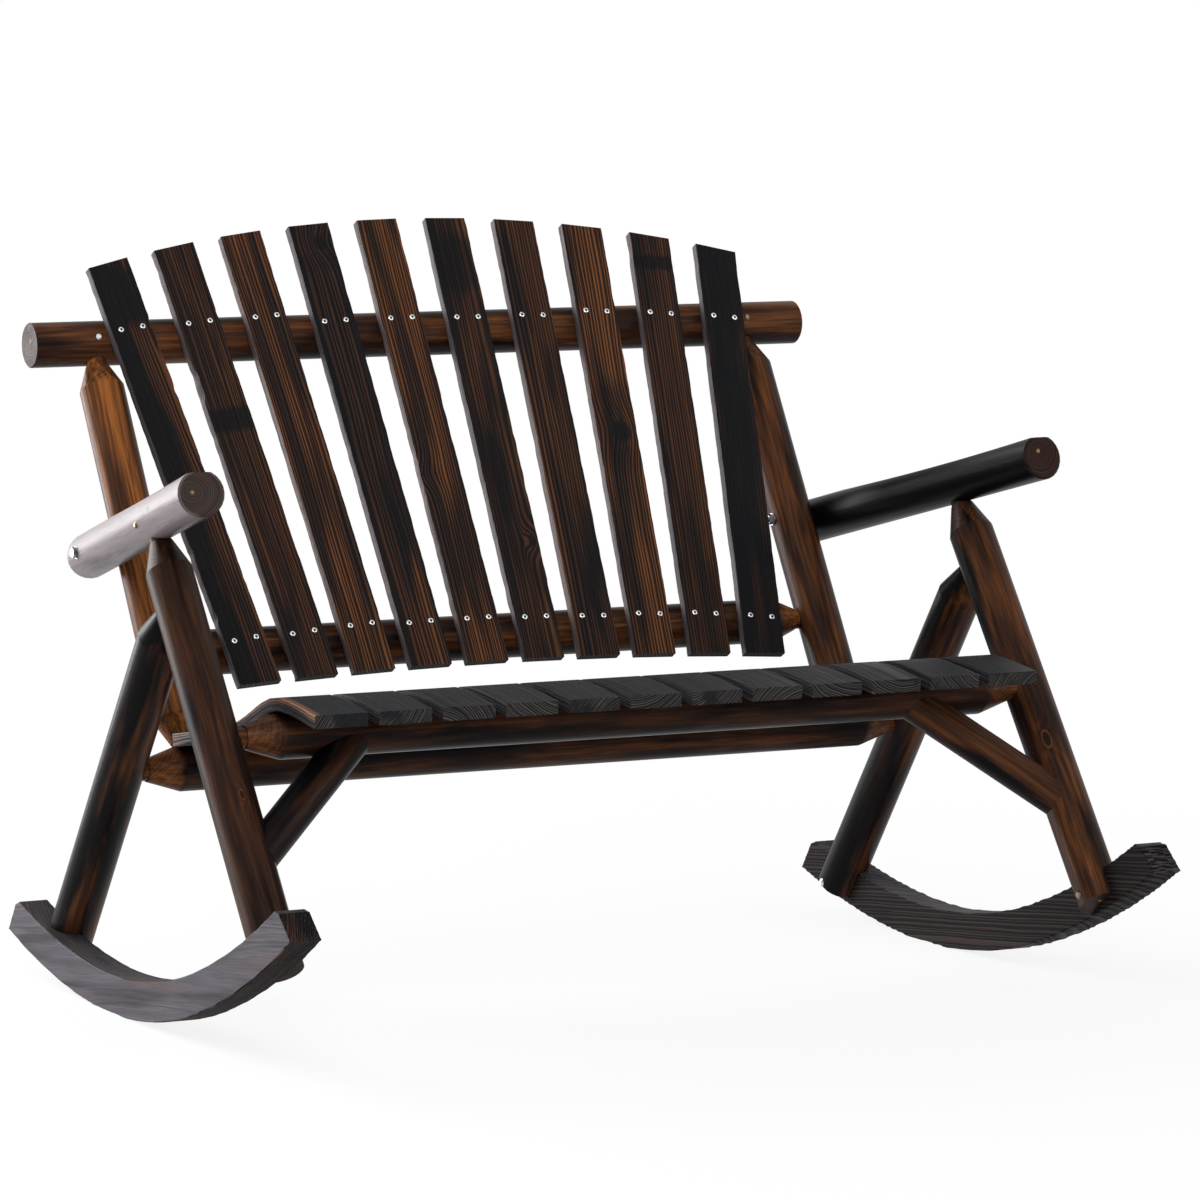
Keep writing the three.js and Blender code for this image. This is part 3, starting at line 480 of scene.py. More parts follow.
def burnt_log(name, black, dark_wood, brown, orange, end_wood, end_ring, pith_wood, gloss):
    """Varnished fir pole: a satin shine, near-black flanks, and brown to orange flames on the unburnt side, partly a
    painted lit side.

    Its ends show the rings round the pith, darker because end grain takes more smoke and varnish."""
    material, tree, shader = new_material(name)
    new = partial(add, tree)
    place, cut, knot, tone = (new("Attribute", attribute_name=word).outputs["Vector"]
                              for word in ("grain", "cut", "knot", "tone"))
    ends, fresh = (new("Attribute", attribute_name=word).outputs["Fac"] for word in ("end", "fresh"))
    own, radius, late, year, core = growth_rings(tree, place, cut, knot, LOG_RINGS, LOG_PERIOD, LOG_SWELLING)
    burnt, warmth, spared_and_lit_angle = new("SeparateXYZ", (tone,)).outputs
    patches, tint = stretched(tree, own, LOG_PATCH, 3.0, 0.55)
    zones = new("SeparateXYZ", (tint,)).outputs["Z"]
    streaks = stretched(tree, own, LOG_STREAK, 3.0, 0.6)[0]
    fibre = stretched(tree, own, LOG_FIBRE, 2.0, 0.6)[0]

    # The fire left most wood on the side that faced away from it, and the cones were turned after it
    # That side is set towards the lamps and the camera, so its lighter wood is partly a painted lit side
    spoke = new("VectorMath", (place, (1, 1, 0)), "*")
    girth = new("VectorMath", (spoke,), "LENGTH").outputs["Value"]
    spared_and_lit = new("CombineXYZ", [new("Math", (spared_and_lit_angle,), turn) for turn in ("COSINE", "SINE")])
    toward_spared_and_lit = new("VectorMath", (new("VectorMath", (spoke,), "NORMALIZE"), spared_and_lit), "DOT_PRODUCT").outputs["Value"]
    cone = new("Math", (new("MapRange", (girth, *CONE_EDGE), **SMOOTH), fresh), "*")
    kept_and_lit = new("Math", (new("Math", (toward_spared_and_lit, 0.16, patches), "*+"), burnt), "-")
    kept_and_lit = new("MapRange", (new("Math", (kept_and_lit, cone), "+"), *KEPT_AND_LIT_EDGE), **SMOOTH)
    glow = new("MapRange", (new("Math", (toward_spared_and_lit, 0.10, zones), "*+"), *GLOW_EDGE), **SMOOTH)
    all_over = new("Math", (warmth, 1.0), "-", use_clamp=True)
    glow = new("Math", (glow, warmth, all_over), "*+")
    glow = new("Math", (cone, 0.8, glow), "*+")
    line = new("Math", (late, new("Math", (year, *LOG_YEARLY), "*+")), "*")
    share = new("Math", (line, 0.25, glow), "*+", use_clamp=True)
    streak = new("Math", (new("MapRange", (streaks, *STREAK_EDGE), **SMOOTH), 0.65), "*")
    bright = new("Math", (new("Math", (line, 0.25, streak), "*+"), glow), "*", use_clamp=True)
    healed = new("Math", (new("Math", (new("Math", (1.0, core), "-"), core), "*"), 1.2), "*")
    pith = new("MapRange", (radius, *PITH_EDGE), **SMOOTH)

    wood = layered(tree, dark_wood, (share, brown), (bright, orange), (new("Math", (core, 0.6), "*"), black))
    ring = layered(tree, end_wood, (line, end_ring), (pith, pith_wood))
    wood = layered(tree, black, (kept_and_lit, wood), (healed, orange), (ends, ring))
    light = new("Math", (fibre, *LOG_LIGHT), "*+")
    shine = new("MapRange", (patches, *LOG_SHINE))
    height = new("Math", (late, 0.35, fibre), "*+")
    bump = new("Bump", {"Strength": 0.45, "Distance": LOG_RIDGE, "Height": height})
    feed(tree, shader, {
        "Base Color": new("VectorMath", {0: wood, "Scale": light}, "SCALE"),
        "Roughness": new("Math", (ends, 0.14, shine), "*+"),
        "Normal": bump, "Coat Normal": bump, "Coat Weight": gloss, "Coat Roughness": 0.45,
        "IOR": FIR_IOR, "Specular IOR Level": 0.05})
    return material


def way_round(placed, towards):
    """The angle round a log's axis at which its surface faces a direction in the level bench."""
    local = placed.to_3x3().inverted() @ level.to_3x3() @ Vector(towards)
    return atan2(local.y, local.x)


def log_frame(through, leads):
    """A frame on a log's axis, with z along the log and y up as far as it can."""
    z = leads.normalized()
    y = (Vector((0, 0, 1)) - z * z.z).normalized()
    return Matrix.Translation(through) @ Matrix((y.cross(z), y, z)).transposed().to_4x4()


def turned_copy(name, placed):
    """A merged copy of a turned log that is smooth round its axis, flat at its cuts and marked at its ends."""
    mesh = merged_copy(name)
    grain_along(mesh, placed)
    to_wood = placed.inverted()
    turn = to_wood.to_3x3()
    mesh.shade_smooth()
    normals, ends = [], []
    for face in mesh.polygons:
        normal, middle = turn @ face.normal, (to_wood @ face.center).xy
        is_round = normal.xy.length > 0.25 and middle.length > 1e-4 and normal.xy.angle(middle) < ROUND_WITHIN
        ends.append(min(1.0, max(0.0, (abs(normal.z) - 0.55) * 4)))
        for index in face.vertices:
            spoke = (to_wood @ mesh.vertices[index].co).xy
            if is_round and spoke.length > 1e-4:
                wanted = Vector((*spoke.normalized() * normal.xy.length, normal.z))
                normals.append((turn.transposed() @ wanted).normalized())
            else:
                normals.append(face.normal.copy())
    mesh.normals_split_custom_set(normals)
    store(mesh, "FACE", end=ends)
    return mesh


log_fir = burnt_log("varnished_burnt_fir", "#0a090b", "#241713", "#432a1e", "#93592b", "#140d0d", "#4a3024", "#8a6c48",
                    0.0)


def add_log(name, placed, wood, cut, tone, spared_and_lit, knot=NO_KNOT, fresh=0.0):
    """Makes a log: its pith and seed, its burnt share and warmth, the way its unburnt side faces, which is also its
    painted lit side, its knot and how far its cones were turned after the burning."""
    mesh = turned_copy(name, placed)
    mark(mesh, cut=cut, tone=(*tone, way_round(placed, spared_and_lit)), knot=knot)
    store(mesh, "POINT", fresh=[fresh] * len(mesh.vertices))
    mesh.materials.append(wood)
    finished(name, mesh, RECORD_SLOT_LOGS, name)


def slanted(x, y, z, degrees):
    """The frame of a side log that crosses a point and whose top leans back by an angle."""
    lean = radians(degrees)
    return log_frame(level @ Vector((x, y, z)), level.to_3x3() @ Vector((0, sin(lean), cos(lean))))


# The burnt share and warmth of each side's front leg, rear leg and post, then the way that the front leg's knot
# faces, how far along it lies and its size
SIDES = {"left": ((0.46, 0.22), (0.60, 0.40), (0.12, 1.38), (-0.2, -1, 0), -0.10, 0.006),
         "right": ((0.50, 0.50), (0.54, 0.55), (0.50, 0.55), (-0.4, -1, 0), -0.097, 0.011)}
# The same share and warmth of each rail, and how far its cones were turned after the burning
RAIL_TONES = ((0.53, 0.30), (0.53, 0.40), (0.50, 0.55), (0.42, 0.66))
RAIL_CONES = (0.45, 0.6, 0.7, 0.0)

for sign, side in ((-1, "left"), (1, "right")):
    front_leg, rear_leg = (slanted(sign * LEG_X, *line) for line in (LEG_FRONT, LEG_REAR))
    front_tone, rear_tone, post_tone, towards, *knot = SIDES[side]
    add_log(f"front_leg_{side}", front_leg, log_fir, (0.006 * sign, 0.005, 13.0 + sign), front_tone, (-0.3, -1, 0),
            (way_round(front_leg, towards), *knot))
    add_log(f"rear_leg_{side}", rear_leg, log_fir, (-0.006, 0.007, 23.0 + sign), rear_tone, (0.2, -1, 0))
    add_log(f"back_post_{side}", slanted(sign * POST_X, *POST), log_fir, (0.007, -0.005, 33.0 + sign), post_tone,
            (-0.5, -1, 0))

for number, name in enumerate(("front_seat_rail", "rear_seat_rail", "lower_back_rail", "upper_back_rail")):
    placed = log_frame(middle_of(name), Vector((1, 0, 0)))
    add_log(name, placed, log_fir, (0.006 - 0.003 * number, 0.007, 41.0 + 3 * number), RAIL_TONES[number],
            (0, -1, 0.2), fresh=RAIL_CONES[number])


# ---- Arms ----
# Round arms, notched over the back posts, bolted there and drilled for the front legs' tenons. The hollow on
# top is shaved for the forearm, and the rear end is rounded over.

ARM_R = 0.0315
ARM_SLOPE = radians(6.5)
ARM_BOLT_HEIGHT = 0.628
ARM_BOLT_X = POST_X + LOG_R + ARM_R - 0.003  # the notch takes 3 mm
ARM_FRONT = 0.526
ARM_FRONT_X = LEG_X + 0.020
# The left arm's pale lilac-grey colours are a painted sheen, for the bright light on its side, under a satin coat; the
# right one is as burnt as the logs
sheen_painted_fir = burnt_log("burnt_fir_with_painted_sheen", "#3c3436", "#6f6568", "#796e71", "#82746f", "#100a0a", "#4a3024",
                     "#8a6c48", 0.32)
ARMS = {"left": (sheen_painted_fir, (-0.013, 0.003, 60.0), (0.34, 0.4), (-1, 0, 0.5), (pi, -0.150, 0.007)),
        "right": (log_fir, (-0.006, 0.011, 62.0), (0.84, 0.2), (-0.3, 0, 1))}
bolt_y = POST[0] + (ARM_BOLT_HEIGHT - POST[1]) * tan(radians(POST[2]))
reach = ARM_FRONT * cos(ARM_SLOPE)

for sign, side in ((-1, "left"), (1, "right")):
    bolt = Vector((sign * ARM_BOLT_X, bolt_y, ARM_BOLT_HEIGHT))
    front = Vector((sign * ARM_FRONT_X, bolt_y - reach, ARM_BOLT_HEIGHT + reach * tan(ARM_SLOPE)))
    add_log(f"arm_{side}", log_frame(level @ front, level.to_3x3() @ (front - bolt)), *ARMS[side])


# ---- Knee braces ----
# Short thinner poles from the front rail to the front legs, hollowed at both ends to lie on the round logs.
# They are turned, burnt and varnished like the logs.

BRACE_SPREAD = 0.199
BRACE_ANGLE = radians(43.4)
BRACE_TONES = {"left": (0.62, 0.20), "right": (0.46, 0.40)}
leg_y, leg_z, lean = *LEG_FRONT[:2], radians(LEG_FRONT[2])
drop = BRACE_SPREAD * tan(BRACE_ANGLE) * cos(lean)

for sign, side in ((-1, "left"), (1, "right")):
    on_rail = Vector((sign * (LEG_X - BRACE_SPREAD), *FRONT_RAIL_AXIS[1:]))
    on_leg = Vector((sign * LEG_X, leg_y - drop * tan(lean), leg_z - drop))
    placed = log_frame(level @ on_rail, level.to_3x3() @ (on_leg - on_rail))
    add_log(f"brace_{side}", placed, log_fir, (0.006, 0.004, 71.0 + sign), BRACE_TONES[side], (0, -1, 0.4))


# ---- Seat boards ----
# Twelve boards sawn to one curved side, nailed over both rails from below, charred and brushed. Their nose
# hangs over the front rail and shows the end grain.

SEAT_BOARDS = 12
SEAT_RINGS = 0.0032
SEAT_SIZES = {"thickness": 0.018, "corner": 0.0012, "step": 0.008, "wavering": 0.0008}
BOARD_RIDGE = 0.0006  # how far the late wood stands out on the faces of seat and back boards
EDGE_SHARES = (0.42, 0.49)  # where a board begins to waver and where it does so in full, across its width
WAVE_SIZE, WAVE_EDGE = (1.0, 0.02, 0.035), (0.35, 0.75)
WANE_SIZE, WANE_EDGE = (1.0, 0.03, 0.085), (0.56, 0.72)
FRAY_SIZE = (0.006, 0.01, 1.0)
END_SHARE = 0.4995  # only a board's end lies further from its middle


def sawn_board_tree():
    """A board along a curve: a rectangle with eased corners, slanted ends and edges that waver as sawn."""
    first = {"Width": 0.06, "Thickness": 0.014, "Corner": 0.001, "Step": 0.006, "Wavering": 0.001, "Wane": 0.0,
             "Head slant": 0.0, "Foot slant": 0.0, "Length": 1.0, "Seed": 0.0}
    numbers = ((word, "Float", value) for word, value in first.items())
    tree, given = shape_tree("sawn_board", ("Centre line", "Geometry"), *numbers, ("Across", "Vector"),
                             ("Wood", "Material"))
    new = partial(add, tree)
    line = new("GeometryNodeResampleCurve", {"Curve": given["Centre line"], "Length": given["Step"]}, mode="LENGTH")
    aimed = new("GeometryNodeSetCurveNormal", {"Curve": line, "Normal": given["Across"]}, mode="FREE")
    line_kept = new("GeometryNodeCaptureAttribute", domain="POINT")
    line_kept.capture_items.new("FLOAT", "Along")
    line_kept.capture_items.new("VECTOR", "Tangent")
    feed(tree, line_kept, {"Geometry": aimed, "Along": new("GeometryNodeSplineParameter").outputs["Length"],
                           "Tangent": new("GeometryNodeInputTangent")})
    section = new("GeometryNodeCurvePrimitiveQuadrilateral", {"Width": given["Width"], "Height": given["Thickness"]},
                  mode="RECTANGLE")
    eased = new("GeometryNodeFilletCurve", {"Curve": section, "Radius": given["Corner"], "Limit Radius": True,
                                            "Count": 2}, mode="POLY")
    section_kept = new("GeometryNodeCaptureAttribute", domain="POINT")
    section_kept.capture_items.new("VECTOR", "Section")
    feed(tree, section_kept, {"Geometry": eased, "Section": new("GeometryNodeInputPosition")})
    board = new("GeometryNodeCurveToMesh", {"Curve": line_kept, "Profile Curve": section_kept, "Fill Caps": True})

    across, through, _ = new("SeparateXYZ", (section_kept.outputs["Section"],)).outputs
    along = line_kept.outputs["Along"]
    side = new("Math", (across,), "SIGN")
    span = (new("Math", (given["Width"], share), "*") for share in EDGE_SHARES)
    at_edge = new("MapRange", (new("Math", (across,), "ABSOLUTE"), *span))
    seeded = new("Math", (side, 4.0, given["Seed"]), "*+")
    seeded = new("CombineXYZ", (seeded, new("Math", (through, 0.4), "*"), along))
    fine = new("MapRange", (stretched(tree, seeded, WAVE_SIZE, 3.0, 0.6)[0], *WAVE_EDGE), **SMOOTH)
    broad = new("MapRange", (stretched(tree, seeded, WANE_SIZE, 2.0, 0.7)[0], *WANE_EDGE), **SMOOTH)
    inwards = new("Math", (fine, given["Wavering"]), "*")
    inwards = new("Math", (new("Math", (broad, given["Wane"], inwards), "*+"), at_edge), "*")
    sideways = new("Math", (inwards, new("Math", (side, -1.0), "*")), "*")

    share = new("Math", (along, given["Length"]), "/")
    slant = new("MapRange", {"Value": share, "To Min": given["Foot slant"], "To Max": given["Head slant"]})
    ahead = new("Math", (slant, across), "*")
    from_middle = new("Math", (share, 0.5), "-")
    at_end = new("Math", (new("Math", (from_middle,), "ABSOLUTE"), END_SHARE), "GREATER_THAN")
    frayed = new("CombineXYZ", (new("Math", (across, given["Seed"]), "+"), through, share))
    frayed = new("Math", (stretched(tree, frayed, FRAY_SIZE, 2.0)[0], new("Math", (from_middle, -2.0), "*")), "*")
    frayed = new("Math", (frayed, at_end), "*")
    ahead = new("Math", (frayed, given["Wavering"], ahead), "*+")
    moved = new("VectorMath", {0: given["Across"], "Scale": sideways}, "SCALE")
    pushed = new("VectorMath", {0: line_kept.outputs["Tangent"], "Scale": ahead}, "SCALE")
    in_wood = new("CombineXYZ", (new("Math", (across, sideways), "+"), through, new("Math", (along, ahead), "+")))
    stored = new("GeometryNodeStoreNamedAttribute", {"Geometry": board, "Name": "grain", "Value": in_wood},
                 data_type="FLOAT_VECTOR", domain="POINT")
    shaped = new("GeometryNodeSetPosition", {"Geometry": stored, "Offset": new("VectorMath", (moved, pushed), "+")})
    return dressed(tree, shaped, given["Wood"])


sawn_board = sawn_board_tree()


def make_board(name, points, across, wood, sizes, marks, edges_rubbed):
    """Makes one board along its centre line, as a plain mesh that stands for its CAD node."""
    line = bpy.data.curves.new(f"{name}_line", "CURVE")
    line.dimensions = "3D"
    spline = line.splines.new("POLY")
    spline.points.add(len(points) - 1)
    for point, place in zip(spline.points, points):
        point.co = (*place, 1)
    mesh = grown(name, line, sawn_board, across=tuple(across), wood=wood, **sizes)
    shape = bmesh.new()
    shape.from_mesh(mesh)
    bmesh.ops.recalc_face_normals(shape, faces=shape.faces)
    shape.to_mesh(mesh)
    shape.free()
    smoothed(mesh, 40)
    # The back boards' side faces get the slate-grey painted sheen, for the lamps' light on their edges; the seat
    # boards' sides don't
    store(mesh, "FACE", end=[float(len(face.vertices) > 4) for face in mesh.polygons],
          rubbed=[float(edges_rubbed and abs(face.normal.dot(across)) > 0.8) for face in mesh.polygons])
    mark(mesh, **marks)
    finished(name, mesh, RECORD_SLOT_BOARDS, name)


def seat_line(name):
    """The middle of a seat board's side, from the nose to the tail, and the board's width."""
    mesh = merged_copy(name)
    low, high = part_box(name)
    top = {}
    for face in mesh.polygons:
        if face.normal.z > 0.5 and abs(face.normal.x) < 0.1:
            for index in face.vertices:
                place = mesh.vertices[index].co
                top[round(place.y, 5)] = place
    line = [Vector(((low.x + high.x) / 2, p.y, p.z)) for _, p in sorted(top.items())]
    bpy.data.meshes.remove(mesh)
    middle = []
    for index, place in enumerate(line):
        way = (line[min(index + 1, len(line) - 1)] - line[max(index - 1, 0)]).normalized()
        middle.append(place + Vector((0, way.z, -way.y)) * SEAT_SIZES["thickness"] / 2)
    return middle, high.x - low.x


seat_fir = charred_fir("charred_fir_seat", SEAT_RINGS, "#141619", "#4a3126", "#242427", "#82604b", "#4b4541", "#2b2a2b",
                       BOARD_RIDGE, 0.08, 0.58)
rng = np.random.default_rng(7)

for number in range(SEAT_BOARDS):
    name = f"seat_slat_{number + 1:02d}"
    middle, width = seat_line(name)
    length = sum((b - a).length for a, b in zip(middle, middle[1:]))
    sizes = {**SEAT_SIZES, "width": width, "length": length, "seed": 3.0 + 1.7 * number}
    pith = [rng.choice((-1, 1)) * rng.uniform(*span) for span in ((0.02, 0.07), (0.035, 0.070))]
    marks = {"cut": (*pith, 80.0 + 1.3 * number), "tone": (rng.uniform(0.30, 0.48), 0.04, 0.95), "side": (0, 0, 0),
             "knot": NO_KNOT, "scorch": NO_SCORCH}
    if number == 0:  # the outer board stood out of the flame at its left side
        marks.update(tone=(0.85, -5.85, 0.95), side=(20.0, -220.0, 0))
    make_board(name, middle, Vector((1, 0, 0)), seat_fir, sizes, marks, False)


# ---- Back boards ----
# Ten thin boards, fanned out from the lower rail to the upper one and cut to an arch. They are charred black
# in places and brown in others, wavy at their edges, and each is fixed by two screws at each rail.

BACK_BOARDS = 10
BACK_RINGS = 0.0041
BACK_SIZES = {"corner": 0.0010, "step": 0.005, "wavering": 0.0012}
AT_SIDE = 0.0005  # points as near as this to a board's side belong to it

# How each board came out of the flame: burnt share, warmth, strength of its lines
BACK_TONES = ((0.56, 0.36, 0.95), (0.38, 0.45, 0.85), (0.24, 1.00, 1.00), (0.42, 0.60, 0.90), (0.24, 1.10, 1.00),
              (0.50, 0.50, 0.75), (0.38, 0.55, 0.85), (0.32, 1.05, 1.00), (0.42, 0.50, 0.75), (0.60, 0.30, 0.60))
# How much more burnt and warmer each board is for every metre to the right
BACK_SIDES = ((-9.0, 10.0, 0), (-1.0, 4.0, 0), (2.0, 0.0, 0), (3.0, 12.0, 0), (0.0, 8.0, 0),
              (-2.0, 10.0, 0), (3.0, -3.0, 0), (-4.0, 5.0, 0), (-2.0, 6.0, 0), (0.0, 4.0, 0))
# Across, along from the foot and size of each board's knot
BACK_KNOTS = (NO_KNOT, NO_KNOT, NO_KNOT, (0.020, 0.66, 0.010), (-0.022, 0.29, 0.009),
              (0.016, 0.18, 0.008), NO_KNOT, (-0.006, 0.35, 0.014), NO_KNOT, (0.012, 0.44, 0.009))
# Along from the foot, half length and depth of each board's scorched band
BACK_SCORCH = ((0.60, 0.06, 1.0), (0.396, 0.024, 0.95), NO_SCORCH, (0.63, 0.02, 0.3), NO_SCORCH,
               (0.62, 0.06, 0.8), NO_SCORCH, (0.36, 0.09, 0.5), (0.625, 0.014, 0.9), (0.30, 0.08, 0.6))
BACK_WANES = (0.0045, 0.0040, 0.0, 0.0008, 0.0012, 0.0012, 0.0010, 0.0, 0.0015, 0.0)


def board_axes(mesh):
    """A straight board's directions: across, out of its front face and up along it."""
    faces = sorted(mesh.polygons, key=lambda face: -face.area)
    out = next(face.normal for face in faces if face.normal.y < -0.5).copy()
    across = next(face.normal for face in faces if abs(face.normal.dot(out)) < 0.1 and face.normal.x > 0.7).copy()
    return across, out, out.cross(across)


back_fir = charred_fir("charred_fir_back", BACK_RINGS, "#101215", "#281b17", "#3f291f", "#75492a", "#1c1614", "#595356",
                       BOARD_RIDGE, 0.05, 0.55)
back_planes = []

for number in range(BACK_BOARDS):
    name = f"back_slat_{number + 1:02d}"
    mesh = merged_copy(name)
    across, out, up = board_axes(mesh)
    places = [(v.co.dot(across), v.co.dot(out), v.co.dot(up)) for v in mesh.vertices]
    bpy.data.meshes.remove(mesh)
    (left, rear, _), (right, front, _) = (tuple(map(pick, zip(*places))) for pick in (min, max))
    left_side = [u for a, _, u in places if a < left + AT_SIDE]
    right_side = [u for a, _, u in places if a > right - AT_SIDE]
    head = (max(left_side) + max(right_side)) / 2
    foot = (min(left_side) + min(right_side)) / 2
    centre = across * (left + right) / 2 + out * (rear + front) / 2
    sizes = {**BACK_SIZES, "width": right - left, "thickness": front - rear, "wane": BACK_WANES[number],
             "length": head - foot, "seed": 11.0 + 2.3 * number,
             "head_slant": (max(right_side) - max(left_side)) / (right - left),
             "foot_slant": (min(right_side) - min(left_side)) / (right - left)}
    # The piths lie on either side and at four depths, so that no two neighbours show the same figure
    pith = ((0.030 + 0.007 * (number * 7 % 5)) * (1 if number * 3 % 5 < 2 else -1), -0.014 - 0.010 * (number % 4))
    knot_across, knot_along, knot_size = BACK_KNOTS[number]
    marks = {"cut": (*pith, 100.0 + 2.1 * number), "tone": BACK_TONES[number], "side": BACK_SIDES[number],
             "knot": (atan2(-pith[1], knot_across - pith[0]), knot_along, knot_size),
             "scorch": BACK_SCORCH[number]}
    make_board(name, [centre + up * foot, centre + up * head], across, back_fir, sizes, marks, True)
    back_planes.append((across, out, up, across * (left + right) / 2 + out * front + up * foot))


# ---- Steel ----
# Carriage bolts, washers, nuts and lag screws of zinc-plated steel, bright and smooth, and the forty pan-head
# screws that hold the back boards, driven home in pairs with their cross recesses as they stopped.

RECORD_SLOT_STEEL = "zinc_steel"
CLOUDS_PER_METRE = 500.0
ZINC_SHINE = (0.3, 0.7, 0.26, 0.38)
HEAD_RADIUS = 0.0042
HEAD_HEIGHT = 0.0016
HEAD_PROFILE = ((1.0, 0.0), (1.0, 0.45), (0.90, 0.80), (0.72, 1.0))  # shares of the radius and of the height
RECESS_REACH = 0.0022
RECESS_HALF_WIDTH = 0.0010
RECESS_DEPTH = 0.0013
RECESS_TAPER = 0.7
SCREW_PAIR = 0.0335
# How far over each board's foot its screws sit, at the lower rail and at the upper one
SCREW_HEIGHTS = ((0.067, 0.550), (0.067, 0.549), (0.070, 0.550), (0.066, 0.536), (0.066, 0.536),
                 (0.063, 0.534), (0.061, 0.536), (0.062, 0.543), (0.062, 0.542), (0.058, 0.540))


def zinc_plate(name, plating, pit=None):
    """Bright zinc on cold-headed steel: a clean pale metal with a slightly cloudy shine, and a painted shade in its
    recess.
    """
    material, tree, shader = new_material(name)
    place = add(tree, "TexCoord").outputs["Object"]
    cloud = add(tree, "TexNoise", {"Vector": place, "Scale": CLOUDS_PER_METRE, "Detail": 2.0})
    shine = add(tree, "MapRange", (cloud, *ZINC_SHINE))
    feed(tree, shader, {"Metallic": 1.0, "Base Color": linear(plating), "Roughness": shine})
    # The recess takes a dark colour: a painted shade
    if pit:
        hollow = add(tree, "Attribute", attribute_name="pit").outputs["Fac"]
        feed(tree, shader, {"Base Color": layered(tree, plating, (hollow, pit))})
    return material


def pan_head():
    """A pan head with its cross recess, its underside at the origin and its top towards z."""
    shape = bmesh.new()
    half, far = RECESS_HALF_WIDTH, RECESS_REACH
    cross = [Matrix.Rotation(turn * pi / 2, 2) @ Vector(corner) for turn in range(4)
             for corner in ((half, -half), (far, -half), (far, half))]
    angles = [atan2(p.y, p.x) for p in cross]
    rings = []
    for share, height in HEAD_PROFILE:
        wide = HEAD_RADIUS * share
        rings.append([shape.verts.new((cos(a) * wide, sin(a) * wide, HEAD_HEIGHT * height)) for a in angles])
    for share, height in ((1.0, HEAD_HEIGHT), (RECESS_TAPER, HEAD_HEIGHT - RECESS_DEPTH)):
        rings.append([shape.verts.new((p.x * share, p.y * share, height)) for p in cross])
    for lower, upper in zip(rings, rings[1:]):
        for index in range(len(cross)):
            after = (index + 1) % len(cross)
            shape.faces.new((lower[index], lower[after], upper[after], upper[index]))
    shape.faces.new(rings[-1])
    shape.faces.new(list(reversed(rings[0])))
    mesh = bpy.data.meshes.new("pan_head")
    shape.to_mesh(mesh)
    shape.free()
    # Marks the points of the cross recess, where the painted shade goes
    store(mesh, "POINT", pit=[float(Vector(v.co[:2]).length < RECESS_REACH and v.co.z < HEAD_HEIGHT * 0.9)
                              for v in mesh.vertices])
    return bpy.data.objects.new("pan_head", mesh)


def driven_screws_tree():
    """A screw head on every point, its top turned outwards and its recess turned at random."""
    tree, given = shape_tree("driven_screws", ("Places", "Geometry"), ("Head", "Object"), ("Seed", "Int", 5),
                             ("Metal", "Material"))
    head = add(tree, "GeometryNodeObjectInfo", {"Object": given["Head"]}, transform_space="ORIGINAL")
    out = add(tree, "GeometryNodeInputNamedAttribute", {"Name": "out"}, data_type="FLOAT_VECTOR")
    aimed = add(tree, "FunctionNodeAlignRotationToVector", {"Vector": out.outputs["Attribute"]}, axis="Z")
    stopped = add(tree, "FunctionNodeRandomValue", {3: pi / 2, "Seed": given["Seed"]}, data_type="FLOAT")
    spun = add(tree, "FunctionNodeAxisAngleToRotation", {"Axis": (0, 0, 1), "Angle": stopped.outputs[1]})
    turned = add(tree, "FunctionNodeRotateRotation", {"Rotation": aimed, "Rotate By": spun}, rotation_space="LOCAL")
    placed = add(tree, "GeometryNodeInstanceOnPoints", {"Points": given["Places"], "Rotation": turned,
                                                        "Instance": head.outputs["Geometry"]})
    return dressed(tree, placed, given["Metal"])


zinc = zinc_plate("zinc_plated_steel", "#d2d5d6")
lacquered = zinc_plate("zinc_plated_steel_under_varnish", "#7a6450")
dulled = zinc_plate("zinc_plated_steel_dulled_outdoors", "#83868a")
for name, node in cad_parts.items():
    if any(word in name for word in ("bolt", "washer", "nut", "lag", "screw")):
        varnished_over = "tenon_screw" in name or name in ("front_leg_lag_right", "upper_rail_screw_right")
        node.data.materials.clear()
        node.data.materials.append(lacquered if varnished_over else dulled if "arm_" in name else zinc)

spots, outs = [], []
for (across, out, up, foot), heights in zip(back_planes, SCREW_HEIGHTS):
    for height in heights:
        for way in (-0.5, 0.5):
            spots.append(foot + across * SCREW_PAIR * way + up * height)
            outs.extend(out)
places = bpy.data.meshes.new("screw_places")
places.from_pydata(spots, [], [])
store(places, "POINT", "FLOAT_VECTOR", out=outs)
head = pan_head()
# Its last colour is the painted shade in the cross recess
heads_zinc = zinc_plate("zinc_plated_screw_heads", "#dadddd", "#26282a")
screws = grown("back_screws", places, driven_screws_tree(), head=head, metal=heads_zinc)
bpy.data.objects.remove(head)
smoothed(screws, 35)
finished("back_screws", screws, RECORD_SLOT_STEEL)


# ---- Studio ----
# A pale painted floor that fades to white, soft light from large lamps and from all round, and the camera of
# the photograph. None of it is part of the bench.

FLOOR_HALF = 12.0
FADE_SPAN = (0.7, 2.2)  # metres from the middle over which the floor fades to white
LEAST_FADE = 0.86
SKY_LIGHT = 0.45
# Name, place, aim, size and power of each lamp
LAMPS = (("back_left_window", (-2.7, 4.0, 1.8), (0, 0, 0.6), (3.2, 4.4), 480),
         ("front_softbox", (-2.2, -4.2, 3.4), (0, 0, 0.5), (2.4, 2.4), 130),
         ("right_fill", (3.2, -2.6, 2.2), (0, 0, 0.5), (2.0, 2.0), 30))
CAMERA_PLACE = (-3.5000, -7.1076, 1.3916)
AZIMUTH, ELEVATION = radians(26.506), radians(6.204)
SENSOR = 36
LENS = 175.09


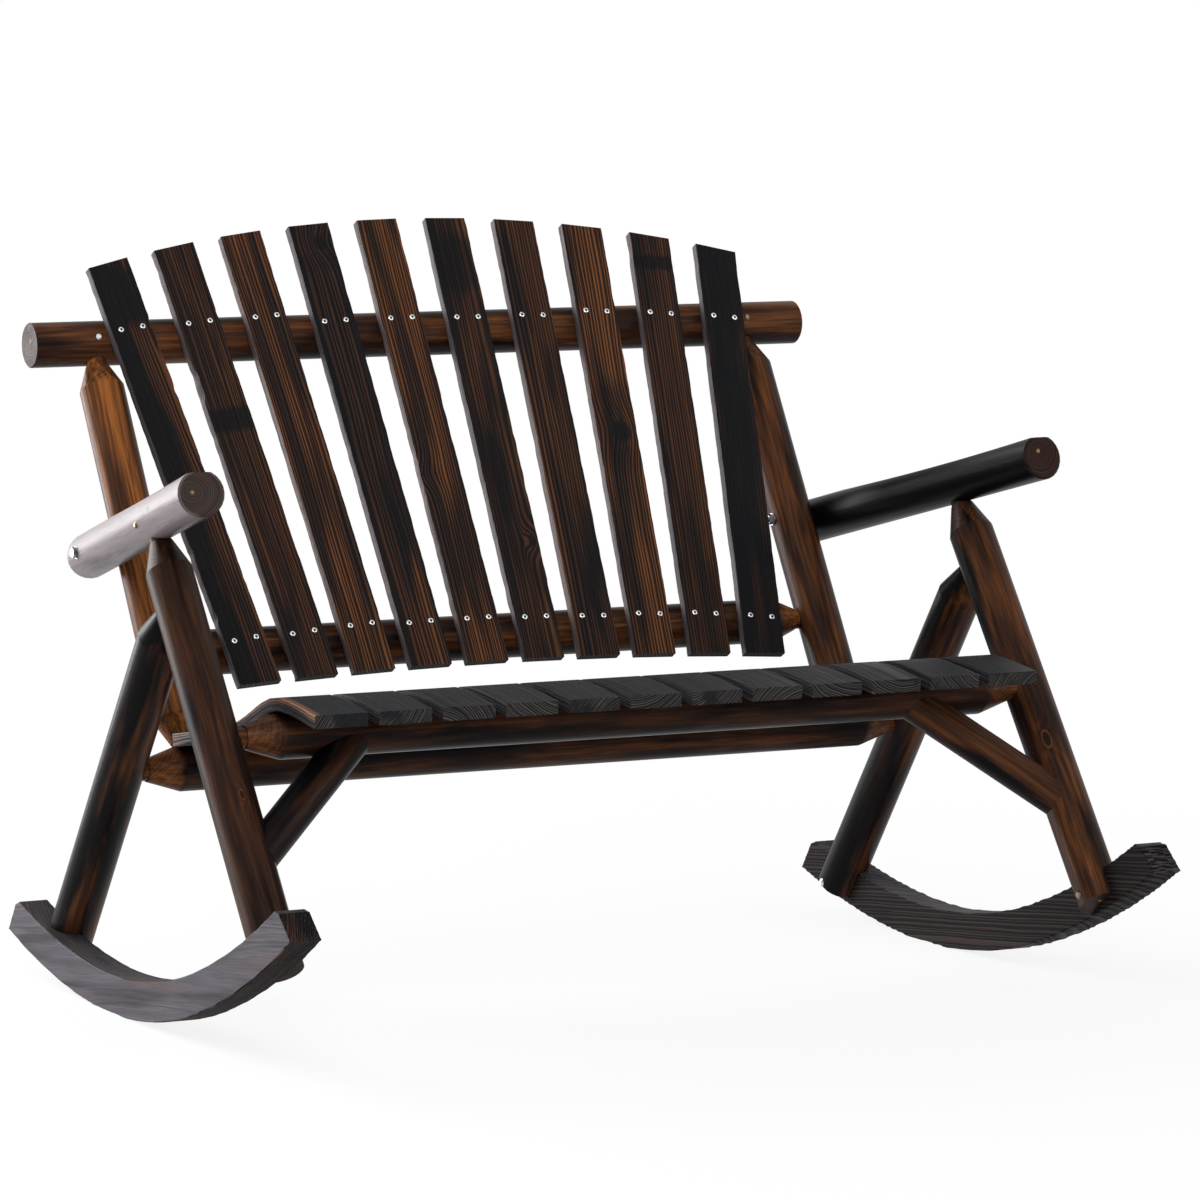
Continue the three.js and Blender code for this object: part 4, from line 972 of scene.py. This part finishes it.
def seen(tree):
    """1 for what the camera sees, also in or through a shine, and 0 for what only lights the bench."""
    rays = add(tree, "LightPath").outputs
    both = add(tree, "Math", (rays["Is Camera Ray"], rays["Is Glossy Ray"]), "+")
    return add(tree, "Math", (both, rays["Is Transmission Ray"]), "+", use_clamp=True)


def studio_floor():
    """A painted studio floor, matt and pale grey, that fades to plain white away from the bench."""
    mesh = bpy.data.meshes.new("floor")
    corners = [(x * FLOOR_HALF, y * FLOOR_HALF, 0) for x, y in ((-1, -1), (1, -1), (1, 1), (-1, 1))]
    mesh.from_pydata(corners, [], [(0, 1, 2, 3)])
    material, tree, shader = new_material("painted_studio_floor")
    feed(tree, shader, {"Base Color": linear("#e9e9ea"), "Roughness": 0.9})
    place = add(tree, "TexCoord").outputs["Object"]
    far = add(tree, "VectorMath", (place,), "LENGTH").outputs["Value"]
    far = add(tree, "MapRange", (far, *FADE_SPAN, LEAST_FADE, 1.0), **SMOOTH)
    white = add(tree, "Emission", {"Color": (1, 1, 1, 1), "Strength": 1.0})
    faded = add(tree, "MixShader", (add(tree, "Math", (far, seen(tree)), "*"), shader, white))
    feed(tree, tree.nodes["Material Output"], {"Surface": faded})
    mesh.materials.append(material)
    return new_object("studio_floor", mesh)


def aim(thing, place, way):
    """Puts a lamp or the camera in its place and turns it along a direction."""
    thing.location = place
    thing.rotation_mode = "QUATERNION"
    thing.rotation_quaternion = way.to_track_quat("-Z", "Y")


studio_floor()

world = bpy.context.scene.world = bpy.data.worlds.new("studio")
world.use_nodes = True
sky = world.node_tree
sky.nodes.clear()
strength = add(sky, "MapRange", (seen(sky), 0.0, 1.0, SKY_LIGHT, 1.0))
add(sky, "OutputWorld", (add(sky, "Background", {"Color": (1, 1, 1, 1), "Strength": strength}),))

for name, place, target, size, power in LAMPS:
    light = bpy.data.lights.new(name, "AREA")
    light.shape = "RECTANGLE"
    light.size, light.size_y = size
    light.energy = power
    aim(new_object(name, light), place, Vector(target) - Vector(place))

camera = new_object("camera", bpy.data.cameras.new("camera"))
camera.data.sensor_width = SENSOR
camera.data.lens = LENS
camera.data.clip_end = 100
level_way = cos(ELEVATION)
aim(camera, CAMERA_PLACE, Vector((sin(AZIMUTH) * level_way, cos(AZIMUTH) * level_way, -sin(ELEVATION))))
bpy.context.scene.camera = camera
bpy.context.scene.view_settings.view_transform = "Standard"
